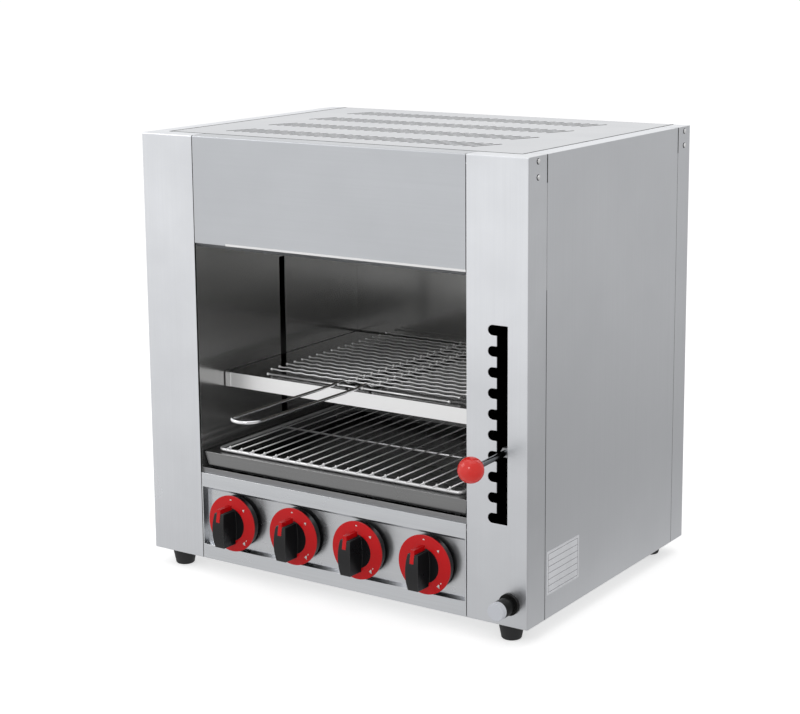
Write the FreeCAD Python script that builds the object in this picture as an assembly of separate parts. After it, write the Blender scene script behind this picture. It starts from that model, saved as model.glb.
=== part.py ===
"""Four-burner countertop gas cheese melter, one STEP file for each piece.

Millimetres. While it is modelled, X runs from the left side, Y from the front face towards the
back, and Z from the underside of the casing. When a piece is saved it is moved so that the origin
is on the surface that the feet stand on, under the middle of the whole machine.
"""
import FreeCAD, Part
import math
import os

Vector = FreeCAD.Vector

# Casing
BODY_WIDTH = 650.0
BODY_DEPTH = 475.0
BODY_HEIGHT = 630.0
SHEET = 1.2
OUTER_BEND = 2.0
SEAM_GAP = 0.8
SEAM_LAP = 12.0
LAP_LOW = 22.0
LAP_TOP_MARGIN = 30.0
CUT_OVERRUN = 5.0
RUNNING_GAP = 0.3
SHAFT_CLEARANCE = 0.05
SHORTEST_RUN = 0.005
NUT_SIDES = 6
FULL_TURN = 360.0

# Corner columns
COLUMN_WIDTH = 94.0
COLUMN_SIDE = 46.5
COLUMN_RETURN = 30.0
COLUMN_RETURN_MARGIN = 20.0
REAR_COLUMN_SIDE = 40.0
REAR_COLUMN_FACE = 40.0
TOP_STRIP_FRONT = 31.0
TOP_STRIP_SIDE = 27.5

# Comb slot in the right column
COMB_INSET = 31.0
COMB_CHANNEL_WIDTH = 16.5
COMB_BOTTOM = 141.0
COMB_TOP_DROP = 221.5
NOTCH_LENGTH = 13.5
NOTCH_HEIGHT = 14.0
NOTCH_PITCH = 28.3

# Front of the casing
FASCIA_HEIGHT = 155.0
LIP_SLOPE = 6.0
LIP_RETURN = 18.0
FASCIA_SIDE = 25.0
FASCIA_SIDE_MARGIN = 25.0
RAIL_TOP = 131.0
RAIL_HEIGHT = 21.0
LOWER_RAIL_TOP = 21.5
RECESS_SIDE_GAP = 1.8
RECESS_DEPTH = 10.0
RECESS_DROP = 6.0
RECESS_RISE = 2.0
RECESS_SIDE_SLOPE = 1.5
LEDGE_DEPTH = 22.0
PANEL_LOW = 8.0
PANEL_LAP = 8.0
PANEL_RETURN = 30.0

# Cooking cavity
WALL_FRONT = 2.0
BACK_CHAMBER = 71.0
PARTITION_DROP = 70.0
FLOOR_FLANGE = 21.0
LINER_SLOT_FRONT = 197.0
LINER_SLOT_WIDTH = 14.0
LINER_SLOT_LOW = 172.0
LINER_SLOT_DROP = 53.0

# Vents in the top cover
COVER_REAR_FLANGE = 16.0
COVER_LAP_FRONT = 20.0
VENT_ROW_FIRST = 97.0
VENT_ROW_PITCH = 101.5
VENT_ROW_MARGIN = 60.0
VENT_SIDE_MARGIN = 110.0
VENT_SHIFT = -6.75
VENT_PITCH = 14.5
VENT_LENGTH = 50.0
VENT_WIDTH = 5.0
VENT_SLANT_DEGREES = 25.0

# Back panel
LOUVRE_LENGTH = 70.0
LOUVRE_WIDTH = 6.0
LOUVRE_SIDE_MARGIN = 40.0
LOUVRE_ROW_COUNT = 5
LOUVRE_COLUMN_PITCH = 95.0
LOUVRE_ROW_PITCH = 18.0
LOUVRE_TOP_DROP = 45.0
LOUVRE_LOW_TOP = 220.0

# Base pan and feet
PAN_FLANGE = 20.0
PAN_VENT_LENGTH = 60.0
PAN_VENT_WIDTH = 8.0
PAN_VENT_MARGIN = 120.0
PAN_VENT_PITCH = 100.0
PAN_VENT_SHARES = (1 / 3, 2 / 3)
FOOT_HEIGHT = 25.0
FOOT_INSET = 38.0
FOOT_FRONT = 24.0
FOOT_REAR_INSET = 34.0
FOOT_TOP_RADIUS = 18.5
FOOT_BOTTOM_RADIUS = 14.2

# Burners
BURNER_PITCH = 112.0
BURNER_GAP = 8.0
BURNER_FRONT = 70.0
BURNER_BACK_GAP = 34.0
BURNER_HEIGHT = 54.0
BURNER_LIP = 5.0
BURNER_LIP_GAP = 0.5
PLAQUE_THICKNESS = 12.0
PLAQUE_GAP = 2.0
BURNER_FRAME_FRONT = 30.0
BURNER_FRAME_FLANGE = 14.0
BURNER_SEAT_RISE = 3.0
MIXER_RADIUS = 13.0
MIXER_BORE = 11.0
MIXER_RISE = 37.0
MIXER_AIR_GAP = 1.0
MIXER_HOLE_GAP = 0.5
SHIELD_FRONT = 30.0
SHIELD_DROP = 4.0
SHIELD_FLANGE = 20.0
FLUE_WIDTH = 8.0
FLUE_MARGIN = 30.0

# Gas train
MANIFOLD_RADIUS = 10.65
MANIFOLD_BORE = 8.3
MANIFOLD_DEPTH = 58.0
MANIFOLD_MARGIN = 14.8
MANIFOLD_CAP = 4.0
KNOB_HEIGHT = 65.0
VALVE_RADIUS = 12.0
VALVE_BACK = 50.0
VALVE_FLANGE = 34.0
VALVE_FLANGE_THICKNESS = 4.0
VALVE_OUTLET_DEPTH = 30.0
VALVE_OUTLET_RADIUS = 5.5
VALVE_OUTLET_TOP = 92.0
VALVE_BORE_END = 40.0
PLUG_RADIUS = 7.0
PLUG_START = 16.0
PLUG_END = 38.0
SPINDLE_RADIUS = 4.0
SPINDLE_TIP = 24.0
SPINDLE_FLAT = 2.6
PANEL_HOLE_RADIUS = 8.0
TUBE_RADIUS = 4.0
TUBE_BEND = 13.0
TUBE_LEVEL = 112.0
TUBE_BACK_INSET = 29.0
INJECTOR_RADIUS = 8.0
INJECTOR_HALF = 10.0
INJECTOR_DROP = 14.0
INJECTOR_NOZZLE_RADIUS = 5.0
INJECTOR_NOZZLE_LENGTH = 5.0
INLET_FROM_END = 15.0
INLET_RADIUS = 10.4
INLET_REACH = 14.0
INLET_SHOULDER_INSET = 14.0
INLET_NECK_RADIUS = 9.6
INLET_COLLAR_RADIUS = 14.0
INLET_COLLAR = 1.2
INLET_RELIEF = 1.0
INLET_PIPE_RADIUS = 8.5
INLET_BORE = 6.0
INLET_NUT_RADIUS = 17.0
INLET_NUT_THICKNESS = 6.8
INLET_HOLE_GAP = 0.6

# Control knobs
SKIRT_RADIUS = 38.5
SKIRT_BACK = 5.0
SKIRT_WALL = 2.5
DISC_FRONT = 7.0
DISC_THICKNESS = 4.0
HUB_RADIUS = 9.0
HUB_BACK = 4.0
RING_RADIUS = 42.0
RING_BORE = 25.0
RING_EDGE = 1.5
RING_CONE = 3.0
DISH_DEPTH = 1.0
GRIP_FRONT = 37.0
GRIP_CROWN = 3.5
GRIP_HALF_END = 8.2
GRIP_HALF_MIDDLE = 10.2
GRIP_TOP = 22.0
GRIP_BOTTOM = 29.0
FIN_HALF = 3.0
FIN_TOP = 29.0
FIN_LOW = 10.0
FIN_PROUD = 0.8
BORE_CLEAR_END = 5.0

# Igniter
IGNITER_INSET = 27.1
IGNITER_Z = 31.8
IGNITER_RADIUS = 10.5
IGNITER_NECK = 20.0
IGNITER_BACK = 62.0
IGNITER_NUT_RADIUS = 13.5
IGNITER_NUT_THICKNESS = 5.0
IGNITER_STEM_RADIUS = 5.0
IGNITER_BORE_END = 30.0
IGNITER_STEM_END = 10.0
BEZEL_RADIUS = 15.0
BEZEL_THICKNESS = 4.0
CAP_RADIUS = 12.5
CAP_INNER_RADIUS = 11.0
CAP_FRONT = 38.0
CAP_FLOOR = 34.0
CAP_BACK = 14.0
CAP_EDGE = 1.5
IGNITER_HOLE_GAP = 0.2
ELECTRODE_Y = 50.0
ELECTRODE_RADIUS = 4.0
ELECTRODE_DROP = 8.0
ELECTRODE_RISE = 27.0
ELECTRODE_TIP_RADIUS = 1.0
ELECTRODE_TIP_LENGTH = 5.0
LEAD_RADIUS = 2.5
LEAD_BEND = 12.0
LEAD_INSET = 12.0
LEAD_DROP = 90.0
LEAD_HOLE_RADIUS = 4.0
LEAD_START_LENGTH = 26.0

# Rack and its lift
RACK_SIDE_GAP = 1.8
RACK_FRONT = 60.0
RACK_BACK_GAP = 8.0
RACK_TOP = 272.0
RACK_DEEP = 21.4
RACK_TAB_WIDTH = 9.0
RACK_TAB_SHEET = 1.0
GUIDE_GAP = 22.0
GUIDE_RADIUS = 6.0
GUIDE_LOW = 128.0
GUIDE_TOP_DROP = 6.0
BRACKET_REACH = 36.0
BRACKET_WIDTH = 30.0
BRACKET_THICKNESS = 6.0
BRACKET_FLANGE = 28.0
BRACKET_FLANGE_THICKNESS = 3.0
CARRIAGE_GAP = 6.0
CARRIAGE_WIDTH = 32.0
CARRIAGE_DEPTH = 28.0
CARRIAGE_DROP = 46.0
CARRIAGE_HEIGHT = 30.0
BUSH_RADIUS = 9.0
BUSH_PROUD = 2.0
BUSH_FLANGE_RADIUS = 11.0
ARM_WIDTH = 10.0
ARM_HEIGHT = 19.6
SHELF_LENGTH = 60.0
SHELF_WIDTH = 10.0
SHELF_THICKNESS = 3.6
SHELF_GAP = 0.8
PIVOT_INSET = 33.0
PIVOT_DROP = 76.0
PIVOT_BOSS_RADIUS = 12.0
PIVOT_PLATE = 5.0
PIVOT_RADIUS = 5.0
PIVOT_SHOULDER_RADIUS = 8.0
PIVOT_HEAD = 2.5
CRANK_GAP = 3.0
CRANK_THICKNESS = 6.0
CRANK_EYE_RADIUS = 11.0

# Lifting lever
LEVER_REST_GAP = 0.6
LEVER_DROP = 37.5
LEVER_RADIUS = 4.0
LEVER_BEND_Y = 10.0
LEVER_BEND = 60.0
BALL_RADIUS = 17.5
BALL_Y = -72.3
BALL_DROP = 2.2
BALL_BORE = 13.0
FERRULE_RADIUS = 5.5
FERRULE_LENGTH = 5.0
FERRULE_GAP = 0.4
COLLAR_RADIUS = 7.5
COLLAR_Y = 14.0
COLLAR_LENGTH = 6.0

# Upper grid and its handle
WIRE_RADIUS = 1.7
HANDLE_RADIUS = 2.1
UPPER_LEFT_MARGIN = 66.8
UPPER_RIGHT_MARGIN = 64.8
UPPER_FRONT_STEP = 14.0
UPPER_FRONT_SETBACK = 1.5
UPPER_SECOND_SETBACK = 28.5
UPPER_PITCH = 18.8
HANDLE_SHIFT = -1.3
HANDLE_HALF = 20.5
HANDLE_BACK_GAP = 4.5
HANDLE_RISE_SETBACK = 11.0
HANDLE_RISE_LENGTH = 13.0
HANDLE_DIP_REACH = 20.0
HANDLE_DIP = 1.6
HANDLE_LOOP_Y = -172.0
HANDLE_LOOP_RISE = 11.0
HANDLE_LOOP_FLAT = 1.05
HANDLE_BEND = 12.0
HANDLE_LONG_BEND = 60.0

# Drip tray and lower grid
TRAY_SIDE_GAP = 2.8
TRAY_FRONT = 6.0
TRAY_BACK_GAP = 8.0
TRAY_LIFT = 8.3
TRAY_HEIGHT = 23.2
TRAY_FLARE = 4.0
TRAY_FLANGE = 20.0
RUNNER_WIDTH = 8.0
RUNNER_INSET = 12.0
RUNNER_FRONT = 16.0
RIM_RADIUS = 2.5
RIM_SIDE_INSET = 17.0
RIM_INSET = 13.0
RIM_CORNER = 8.0
BAR_RADIUS = 1.6
BAR_MARGIN = 15.0
BAR_PITCH = 21.25
BAR_OVERHANG = 7.0
WELD_BITE = 0.3
CROSS_SHARES = (0.4, 0.6)
CROSS_RADIUS = 2.0

# Fasteners
RIVET_RADIUS = 3.0
RIVET_SHANK = 1.6
RIVET_HEAD = 1.2
RIVET_FRONT_Y = 24.0
RIVET_REAR_INSET = 19.0
RIVET_HIGH_DROP = 7.0
RIVET_LOW_DROP = 27.7
SCREW_RADIUS = 4.0
SCREW_SHANK = 2.0
SCREW_HEAD = 2.2
SCREW_SLOT = 1.0
SCREW_SLOT_DEPTH = 0.8
SCREW_EDGE = 9.0
SCREW_ROW_COUNT = 5
SCREW_Z_MARGIN = 30.0

# Worked out from the sizes above
MIDDLE_X = BODY_WIDTH / 2
COLUMN_INNER = BODY_WIDTH - COLUMN_WIDTH
CAVITY_LEFT = COLUMN_WIDTH + SHEET
CAVITY_RIGHT = BODY_WIDTH - CAVITY_LEFT
CAVITY_WIDTH = CAVITY_RIGHT - CAVITY_LEFT
BACK_INNER = BODY_DEPTH - SHEET
BACK_WALL_FRONT = BODY_DEPTH - BACK_CHAMBER
PARTITION_TOP = BODY_HEIGHT - PARTITION_DROP
FASCIA_BOTTOM = BODY_HEIGHT - FASCIA_HEIGHT
RAIL_BOTTOM = RAIL_TOP - RAIL_HEIGHT
PANEL_HIGH = RAIL_BOTTOM + PANEL_LAP
COMB_CHANNEL_RIGHT = BODY_WIDTH - COMB_INSET
COMB_CHANNEL_LEFT = COMB_CHANNEL_RIGHT - COMB_CHANNEL_WIDTH
COMB_TOP = BODY_HEIGHT - COMB_TOP_DROP
NOTCH_TIP = COMB_CHANNEL_LEFT - NOTCH_LENGTH
NOTCH_FIRST = COMB_TOP - NOTCH_HEIGHT / 2
NOTCH_COUNT = int((NOTCH_FIRST - COMB_BOTTOM) / NOTCH_PITCH) + 1
VENT_ROW_COUNT = int((BODY_DEPTH - VENT_ROW_FIRST - VENT_ROW_MARGIN) / VENT_ROW_PITCH) + 1
VENT_COUNT = int((BODY_WIDTH - VENT_SIDE_MARGIN * 2) / VENT_PITCH) + 1
VENT_FIRST = MIDDLE_X + VENT_SHIFT - VENT_PITCH * (VENT_COUNT - 1) / 2
LOUVRE_ROOM = BODY_WIDTH - (REAR_COLUMN_FACE + LOUVRE_SIDE_MARGIN) * 2 - LOUVRE_LENGTH
LOUVRE_COLUMN_COUNT = int(LOUVRE_ROOM / LOUVRE_COLUMN_PITCH) + 1
LOUVRE_TOP = BODY_HEIGHT - LOUVRE_TOP_DROP
PAN_VENT_ROOM = BODY_WIDTH - PAN_VENT_MARGIN * 2 - PAN_VENT_LENGTH
PAN_VENT_COUNT = int(PAN_VENT_ROOM / PAN_VENT_PITCH) + 1
FOOT_REAR = BODY_DEPTH - FOOT_REAR_INSET
BURNER_COUNT = int(CAVITY_WIDTH / BURNER_PITCH)
BURNER_WIDTH = BURNER_PITCH - BURNER_GAP
BURNER_BACK = BACK_WALL_FRONT - BURNER_BACK_GAP
BURNER_SEAT = FASCIA_BOTTOM + BURNER_SEAT_RISE
MIXER_Z = BURNER_SEAT + MIXER_RISE
SHIELD_HEIGHT = PARTITION_TOP - SHIELD_DROP
KNOB_FIRST = MIDDLE_X - BURNER_PITCH * (BURNER_COUNT - 1) / 2
MANIFOLD_LEFT = CAVITY_LEFT + MANIFOLD_MARGIN
MANIFOLD_RIGHT = CAVITY_RIGHT - MANIFOLD_MARGIN
TUBE_BACK = BODY_DEPTH - TUBE_BACK_INSET
INJECTOR_FRONT = TUBE_BACK - INJECTOR_HALF
INJECTOR_BACK = TUBE_BACK + INJECTOR_HALF
MIXER_END = INJECTOR_FRONT - INJECTOR_NOZZLE_LENGTH - MIXER_AIR_GAP
INLET_X = MANIFOLD_RIGHT - INLET_FROM_END
INLET_SHOULDER = BODY_DEPTH - INLET_SHOULDER_INSET
IGNITER_X = BODY_WIDTH - IGNITER_INSET
ELECTRODE_X = KNOB_FIRST + BURNER_PITCH * (BURNER_COUNT - 1) - BURNER_PITCH / 2
ELECTRODE_LOW = BURNER_SEAT - ELECTRODE_DROP
ELECTRODE_TOP = BURNER_SEAT + ELECTRODE_RISE
ELECTRODE_TIP_LOW = ELECTRODE_LOW - ELECTRODE_TIP_LENGTH
LEAD_X = BODY_WIDTH - LEAD_INSET
LEAD_HIGH = BODY_HEIGHT - LEAD_DROP
LINER_SLOT_HIGH = BURNER_SEAT - LINER_SLOT_DROP
SLOT_MIDDLE_Y = LINER_SLOT_FRONT + LINER_SLOT_WIDTH / 2
GUIDE_X = CAVITY_RIGHT + SHEET + GUIDE_GAP
GUIDE_HIGH = BURNER_SEAT - GUIDE_TOP_DROP
RACK_BACK = BACK_WALL_FRONT - RACK_BACK_GAP
ARM_TOP = RACK_TOP - RACK_DEEP
CARRIAGE_LEFT = CAVITY_RIGHT + SHEET + CARRIAGE_GAP
CARRIAGE_LOW = RACK_TOP - CARRIAGE_DROP
CARRIAGE_FRONT = SLOT_MIDDLE_Y - CARRIAGE_DEPTH / 2
PIVOT_X = BODY_WIDTH - PIVOT_INSET
PIVOT_Z = RACK_TOP - PIVOT_DROP
CRANK_FRONT = CARRIAGE_FRONT - CRANK_GAP - CRANK_THICKNESS
LEVER_X = COMB_CHANNEL_LEFT + LEVER_RADIUS + LEVER_REST_GAP
LEVER_Z = RACK_TOP - LEVER_DROP
BALL_Z = LEVER_Z - BALL_DROP
UPPER_GRID_LEFT = CAVITY_LEFT + UPPER_LEFT_MARGIN
UPPER_GRID_RIGHT = CAVITY_RIGHT - UPPER_RIGHT_MARGIN
UPPER_FRONT_LEFT = UPPER_GRID_LEFT + UPPER_FRONT_STEP
UPPER_FRONT_Y = RACK_FRONT + UPPER_FRONT_SETBACK
UPPER_SECOND_Y = RACK_FRONT + UPPER_SECOND_SETBACK
HANDLE_CENTRE = MIDDLE_X + HANDLE_SHIFT
HANDLE_SPINE_END = RACK_BACK - HANDLE_BACK_GAP
UPPER_WIRE_COUNT = int((HANDLE_SPINE_END - UPPER_SECOND_Y) / UPPER_PITCH) + 1
HANDLE_RISE_FRONT = RACK_FRONT + HANDLE_RISE_SETBACK
HANDLE_RISE_BACK = HANDLE_RISE_FRONT + HANDLE_RISE_LENGTH
HANDLE_DIP_FRONT = RACK_FRONT - HANDLE_DIP_REACH
HANDLE_LOOP_Z = RACK_TOP + HANDLE_LOOP_RISE
TRAY_SIDE = CAVITY_LEFT + TRAY_SIDE_GAP
TRAY_BACK = BACK_WALL_FRONT - TRAY_BACK_GAP
TRAY_BOTTOM = RAIL_TOP + TRAY_LIFT
TRAY_TOP = TRAY_BOTTOM + TRAY_HEIGHT
RIM_LEFT = TRAY_SIDE + RIM_SIDE_INSET
RIM_FRONT = TRAY_FRONT + RIM_INSET
RIM_BACK = TRAY_BACK - RIM_INSET
BAR_COUNT = int((BODY_WIDTH - (RIM_LEFT + BAR_MARGIN) * 2) / BAR_PITCH) + 1
BAR_FIRST = MIDDLE_X - BAR_PITCH * (BAR_COUNT - 1) / 2
RIVET_REAR_Y = BODY_DEPTH - RIVET_REAR_INSET
RIVET_HIGH = BODY_HEIGHT - RIVET_HIGH_DROP
RIVET_LOW = BODY_HEIGHT - RIVET_LOW_DROP
FRONT_REACH = -(HANDLE_LOOP_Y - HANDLE_HALF - HANDLE_RADIUS)
BACK_REACH = BODY_DEPTH + INLET_REACH
MIDDLE_Y = (BACK_REACH - FRONT_REACH) / 2


def knob_centres():
    """Return the X of each burner and of the knob below it."""
    return [KNOB_FIRST + BURNER_PITCH * i for i in range(BURNER_COUNT)]


def box(x0, x1, y0, y1, z0, z1):
    """Return a box between two corners."""
    return Part.makeBox(x1 - x0, y1 - y0, z1 - z0, Vector(x0, y0, z0))


def rod(start, end, radius):
    """Return a cylinder from one point to another."""
    axis = end - start
    return Part.makeCylinder(radius, axis.Length, start, axis)


def rod_y(x, z, y0, y1, radius):
    """Return a cylinder along Y."""
    return rod(Vector(x, y0, z), Vector(x, y1, z), radius)


def rod_z(x, y, z0, z1, radius):
    """Return a cylinder along Z."""
    return rod(Vector(x, y, z0), Vector(x, y, z1), radius)


def joined(shapes):
    """Return the shapes fused into one."""
    shapes = list(shapes)
    return shapes[0].multiFuse(shapes[1:]).removeSplitter()


def group(shapes):
    """Return separate solids as one compound."""
    return Part.makeCompound(list(shapes))


def mirrored(shape):
    """Return the same piece for the other side of the machine."""
    return shape.mirror(Vector(MIDDLE_X, 0, 0), Vector(1, 0, 0))


def corner_arc(before, corner, after, radius):
    """Return the ends and the middle of the arc that rounds a corner."""
    one = (before - corner).normalize()
    two = (after - corner).normalize()
    half = one.getAngle(two) / 2
    reach = radius / math.tan(half)
    centre = corner + (one + two).normalize() * (radius / math.sin(half))
    start = corner + one * reach
    end = corner + two * reach
    middle = centre + (corner - centre).normalize() * radius
    return start, middle, end


def path_wire(points, radii, closed=False):
    """Return straight runs joined by tangent arcs, as one wire."""
    count = len(points)
    ends = []
    for i, point in enumerate(points):
        at_end = not closed and i in (0, count - 1)
        if at_end or radii[i] == 0:
            ends.append((point, None, point))
        else:
            ends.append(corner_arc(points[i - 1], point, points[(i + 1) % count], radii[i]))
    edges = []
    for i, (start, middle, end) in enumerate(ends):
        if middle is not None:
            edges.append(Part.Arc(start, middle, end).toShape())
        if closed or i < count - 1:
            following = ends[(i + 1) % count][0]
            if end.distanceToPoint(following) > SHORTEST_RUN:
                edges.append(Part.LineSegment(end, following).toShape())
    return Part.Wire(Part.__sortEdges__(edges))


def bent_rod(points, radii, radius, closed=False):
    """Return a round rod swept along straight runs and arcs."""
    path = path_wire(points, radii, closed)
    first = path.OrderedEdges[0]
    start = first.valueAt(first.FirstParameter)
    along = first.tangentAt(first.FirstParameter)
    ring = Part.Wire([Part.makeCircle(radius, start, along)])
    return path.makePipeShell([ring], True, True)


def plate_xz(points, y0, y1, radii=None):
    """Return a flat plate with its outline in X and Z."""
    corners = [Vector(x, y0, z) for x, z in points]
    wire = path_wire(corners, radii or [0] * len(corners), True)
    return Part.Face(wire).extrude(Vector(0, y1 - y0, 0))


def profile_yz(points, x0, x1, radii=None):
    """Return a bar along X with its section in Y and Z."""
    corners = [Vector(x0, y, z) for y, z in points]
    wire = path_wire(corners, radii or [0] * len(corners), True)
    return Part.Face(wire).extrude(Vector(x1 - x0, 0, 0))


def folded_yz(points, x0, x1):
    """Return a folded sheet along X: the points are its outer face, the metal is on the left."""
    flat = [Vector(y, z, 0) for y, z in points]
    normals = []
    for here, there in zip(flat, flat[1:]):
        along = (there - here).normalize()
        normals.append(Vector(-along.y, along.x, 0))
    inner = [flat[0] + normals[0] * SHEET]
    for i in range(1, len(flat) - 1):
        both = normals[i - 1] + normals[i]
        inner.append(flat[i] + both * (SHEET * 2 / both.dot(both)))
    inner.append(flat[-1] + normals[-1] * SHEET)
    outline = flat + inner[::-1]
    return profile_yz([(p.x, p.y) for p in outline], x0, x1)


def stadium(centre, along, length, width, depth):
    """Return a slot cutter with round ends; along is its long direction, depth its travel."""
    across = along.cross(depth).normalize() * (width / 2)
    run = along * ((length - width) / 2)
    bulge = along * (width / 2)
    a = centre - run + across
    b = centre + run + across
    c = centre + run - across
    d = centre - run - across
    edges = [
        Part.LineSegment(a, b).toShape(),
        Part.Arc(b, centre + run + bulge, c).toShape(),
        Part.LineSegment(c, d).toShape(),
        Part.Arc(d, centre - run - bulge, a).toShape(),
    ]
    return Part.Wire(edges)


def envelope():
    """Return the rounded block that the bent corners of the casing lie in."""
    block = box(0, BODY_WIDTH, 0, BODY_DEPTH, 0, BODY_HEIGHT)
    middle_z = BODY_HEIGHT / 2
    picked = []
    for edge in block.Edges:
        centre = edge.CenterOfMass
        upright = abs(centre.z - middle_z) < SHEET
        top_front = centre.y < SHEET and BODY_HEIGHT - centre.z < SHEET
        if upright or top_front:
            picked.append(edge)
    return block.makeFillet(OUTER_BEND, picked)


def rivet_places():
    """Return where the rivets of the right side go."""
    return [(y, z) for y in (RIVET_FRONT_Y, RIVET_REAR_Y) for z in (RIVET_HIGH, RIVET_LOW)]


def rivet_holes():
    """Return the cutters of the rivet holes of the right side."""
    holes = []
    for y, z in rivet_places():
        start = Vector(BODY_WIDTH - SHEET - CUT_OVERRUN, y, z)
        end = Vector(BODY_WIDTH + CUT_OVERRUN, y, z)
        holes.append(rod(start, end, RIVET_SHANK + SHAFT_CLEARANCE))
    return holes


def front_column():
    """Return the right front column before its slot and its hole."""
    pieces = [
        box(COLUMN_INNER, BODY_WIDTH, 0, SHEET, 0, BODY_HEIGHT),
        box(BODY_WIDTH - SHEET, BODY_WIDTH, 0, COLUMN_SIDE, 0, BODY_HEIGHT),
        box(COLUMN_INNER, COLUMN_INNER + SHEET, 0, COLUMN_RETURN, SHEET,
            BODY_HEIGHT - COLUMN_RETURN_MARGIN),
        box(COLUMN_INNER, BODY_WIDTH, 0, TOP_STRIP_FRONT, BODY_HEIGHT - SHEET, BODY_HEIGHT),
        box(BODY_WIDTH - TOP_STRIP_SIDE, BODY_WIDTH, 0, COLUMN_SIDE,
            BODY_HEIGHT - SHEET, BODY_HEIGHT),
    ]
    return joined(pieces).common(envelope()).cut(rivet_holes())


def comb_slot():
    """Return the cutter of the comb slot: a channel with a row of notches on its left."""
    radius = NOTCH_HEIGHT / 2
    cutters = [box(COMB_CHANNEL_LEFT, COMB_CHANNEL_RIGHT, -CUT_OVERRUN, CUT_OVERRUN,
                   COMB_BOTTOM, COMB_TOP)]
    for i in range(NOTCH_COUNT):
        z = NOTCH_FIRST - NOTCH_PITCH * i
        centre = NOTCH_TIP + radius
        cutters.append(rod_y(centre, z, -CUT_OVERRUN, CUT_OVERRUN, radius))
        cutters.append(box(centre, COMB_CHANNEL_RIGHT, -CUT_OVERRUN, CUT_OVERRUN,
                           z - radius, z + radius))
    return joined(cutters)


def right_front_column():
    """Return the right front column with the comb slot and the igniter's hole."""
    hole = rod_y(IGNITER_X, IGNITER_Z, -CUT_OVERRUN, CUT_OVERRUN,
                 IGNITER_RADIUS + IGNITER_HOLE_GAP)
    return front_column().cut([comb_slot(), hole])


def rear_column():
    """Return the right rear column."""
    front = BODY_DEPTH - REAR_COLUMN_SIDE
    pieces = [
        box(BODY_WIDTH - SHEET, BODY_WIDTH, front, BODY_DEPTH, 0, BODY_HEIGHT),
        box(BODY_WIDTH - REAR_COLUMN_FACE, BODY_WIDTH, BACK_INNER, BODY_DEPTH, 0, BODY_HEIGHT),
        box(BODY_WIDTH - TOP_STRIP_SIDE, BODY_WIDTH, front, BODY_DEPTH,
            BODY_HEIGHT - SHEET, BODY_HEIGHT),
    ]
    return joined(pieces).common(envelope()).cut(rivet_holes())


def side_panel():
    """Return the right side panel with the laps that lie behind the columns."""
    front = COLUMN_SIDE + SEAM_GAP
    back = BODY_DEPTH - REAR_COLUMN_SIDE - SEAM_GAP
    outer = BODY_WIDTH - SHEET
    inner = outer - SHEET
    lap_top = BODY_HEIGHT - LAP_TOP_MARGIN
    pieces = [
        box(outer, BODY_WIDTH, front, back, 0, BODY_HEIGHT),
        box(BODY_WIDTH - TOP_STRIP_SIDE, BODY_WIDTH, front, back,
            BODY_HEIGHT - SHEET, BODY_HEIGHT),
        box(inner, outer, front - SEAM_LAP, front + SEAM_LAP, LAP_LOW, lap_top),
        box(inner, outer, back - SEAM_LAP, back + SEAM_LAP, LAP_LOW, lap_top),
    ]
    return joined(pieces).common(envelope())


def vent_wires(z):
    """Return the outlines of the vent slots in the top cover."""
    slant = math.radians(VENT_SLANT_DEGREES)
    along = Vector(math.sin(slant), math.cos(slant), 0)
    wires = []
    for row in range(VENT_ROW_COUNT):
        for i in range(VENT_COUNT):
            centre = Vector(VENT_FIRST + VENT_PITCH * i, VENT_ROW_FIRST + VENT_ROW_PITCH * row, z)
            wires.append(stadium(centre, along, VENT_LENGTH, VENT_WIDTH, Vector(0, 0, 1)))
    return wires


def top_cover():
    """Return the vented top cover with its laps and its rear flange."""
    left = TOP_STRIP_SIDE + SEAM_GAP
    right = BODY_WIDTH - left
    front = TOP_STRIP_FRONT + SEAM_GAP
    back = BACK_INNER - SEAM_GAP
    low = BODY_HEIGHT - SHEET
    corners = [Vector(left, front, low), Vector(right, front, low),
               Vector(right, back, low), Vector(left, back, low)]
    outline = path_wire(corners, [0] * len(corners), True)
    wires = Part.makeCompound([outline] + vent_wires(low))
    face = Part.makeFace(wires, "Part::FaceMakerBullseye")
    plate = face.extrude(Vector(0, 0, SHEET))
    lap_low = low - SHEET
    lap_back = back - SEAM_LAP
    laps = [
        box(left - SEAM_LAP, left + SEAM_LAP, COVER_LAP_FRONT, lap_back, lap_low, low),
        box(right - SEAM_LAP, right + SEAM_LAP, COVER_LAP_FRONT, lap_back, lap_low, low),
        box(left - SEAM_LAP, right + SEAM_LAP, COVER_LAP_FRONT, front + SEAM_LAP, lap_low, low),
        box(REAR_COLUMN_FACE + SEAM_GAP, BODY_WIDTH - REAR_COLUMN_FACE - SEAM_GAP,
            back - SHEET, back, BODY_HEIGHT - COVER_REAR_FLANGE, low),
    ]
    return joined([plate] + laps)


def fascia():
    """Return the fascia over the opening with its turned-in lower lip."""
    lip_z = FASCIA_BOTTOM - LIP_SLOPE
    points = [(TOP_STRIP_FRONT, BODY_HEIGHT), (0, BODY_HEIGHT), (0, FASCIA_BOTTOM),
              (LIP_SLOPE, lip_z), (LIP_SLOPE + LIP_RETURN, lip_z)]
    side_top = BODY_HEIGHT - FASCIA_SIDE_MARGIN
    sides = [box(x, x + SHEET, SHEET, FASCIA_SIDE, FASCIA_BOTTOM, side_top)
             for x in (CAVITY_LEFT, CAVITY_RIGHT - SHEET)]
    skin = folded_yz(points, CAVITY_LEFT, CAVITY_RIGHT)
    return joined([skin] + sides).common(envelope())


def back_screw_places():
    """Return where the screws of the back panel go, in X and Z."""
    left = REAR_COLUMN_FACE + SEAM_GAP + SCREW_EDGE
    right = BODY_WIDTH - left
    low = SCREW_Z_MARGIN
    step = (BODY_HEIGHT - SCREW_Z_MARGIN * 2) / (SCREW_ROW_COUNT - 1)
    return [(x, low + step * i) for i in range(SCREW_ROW_COUNT) for x in (left, right)]


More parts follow.
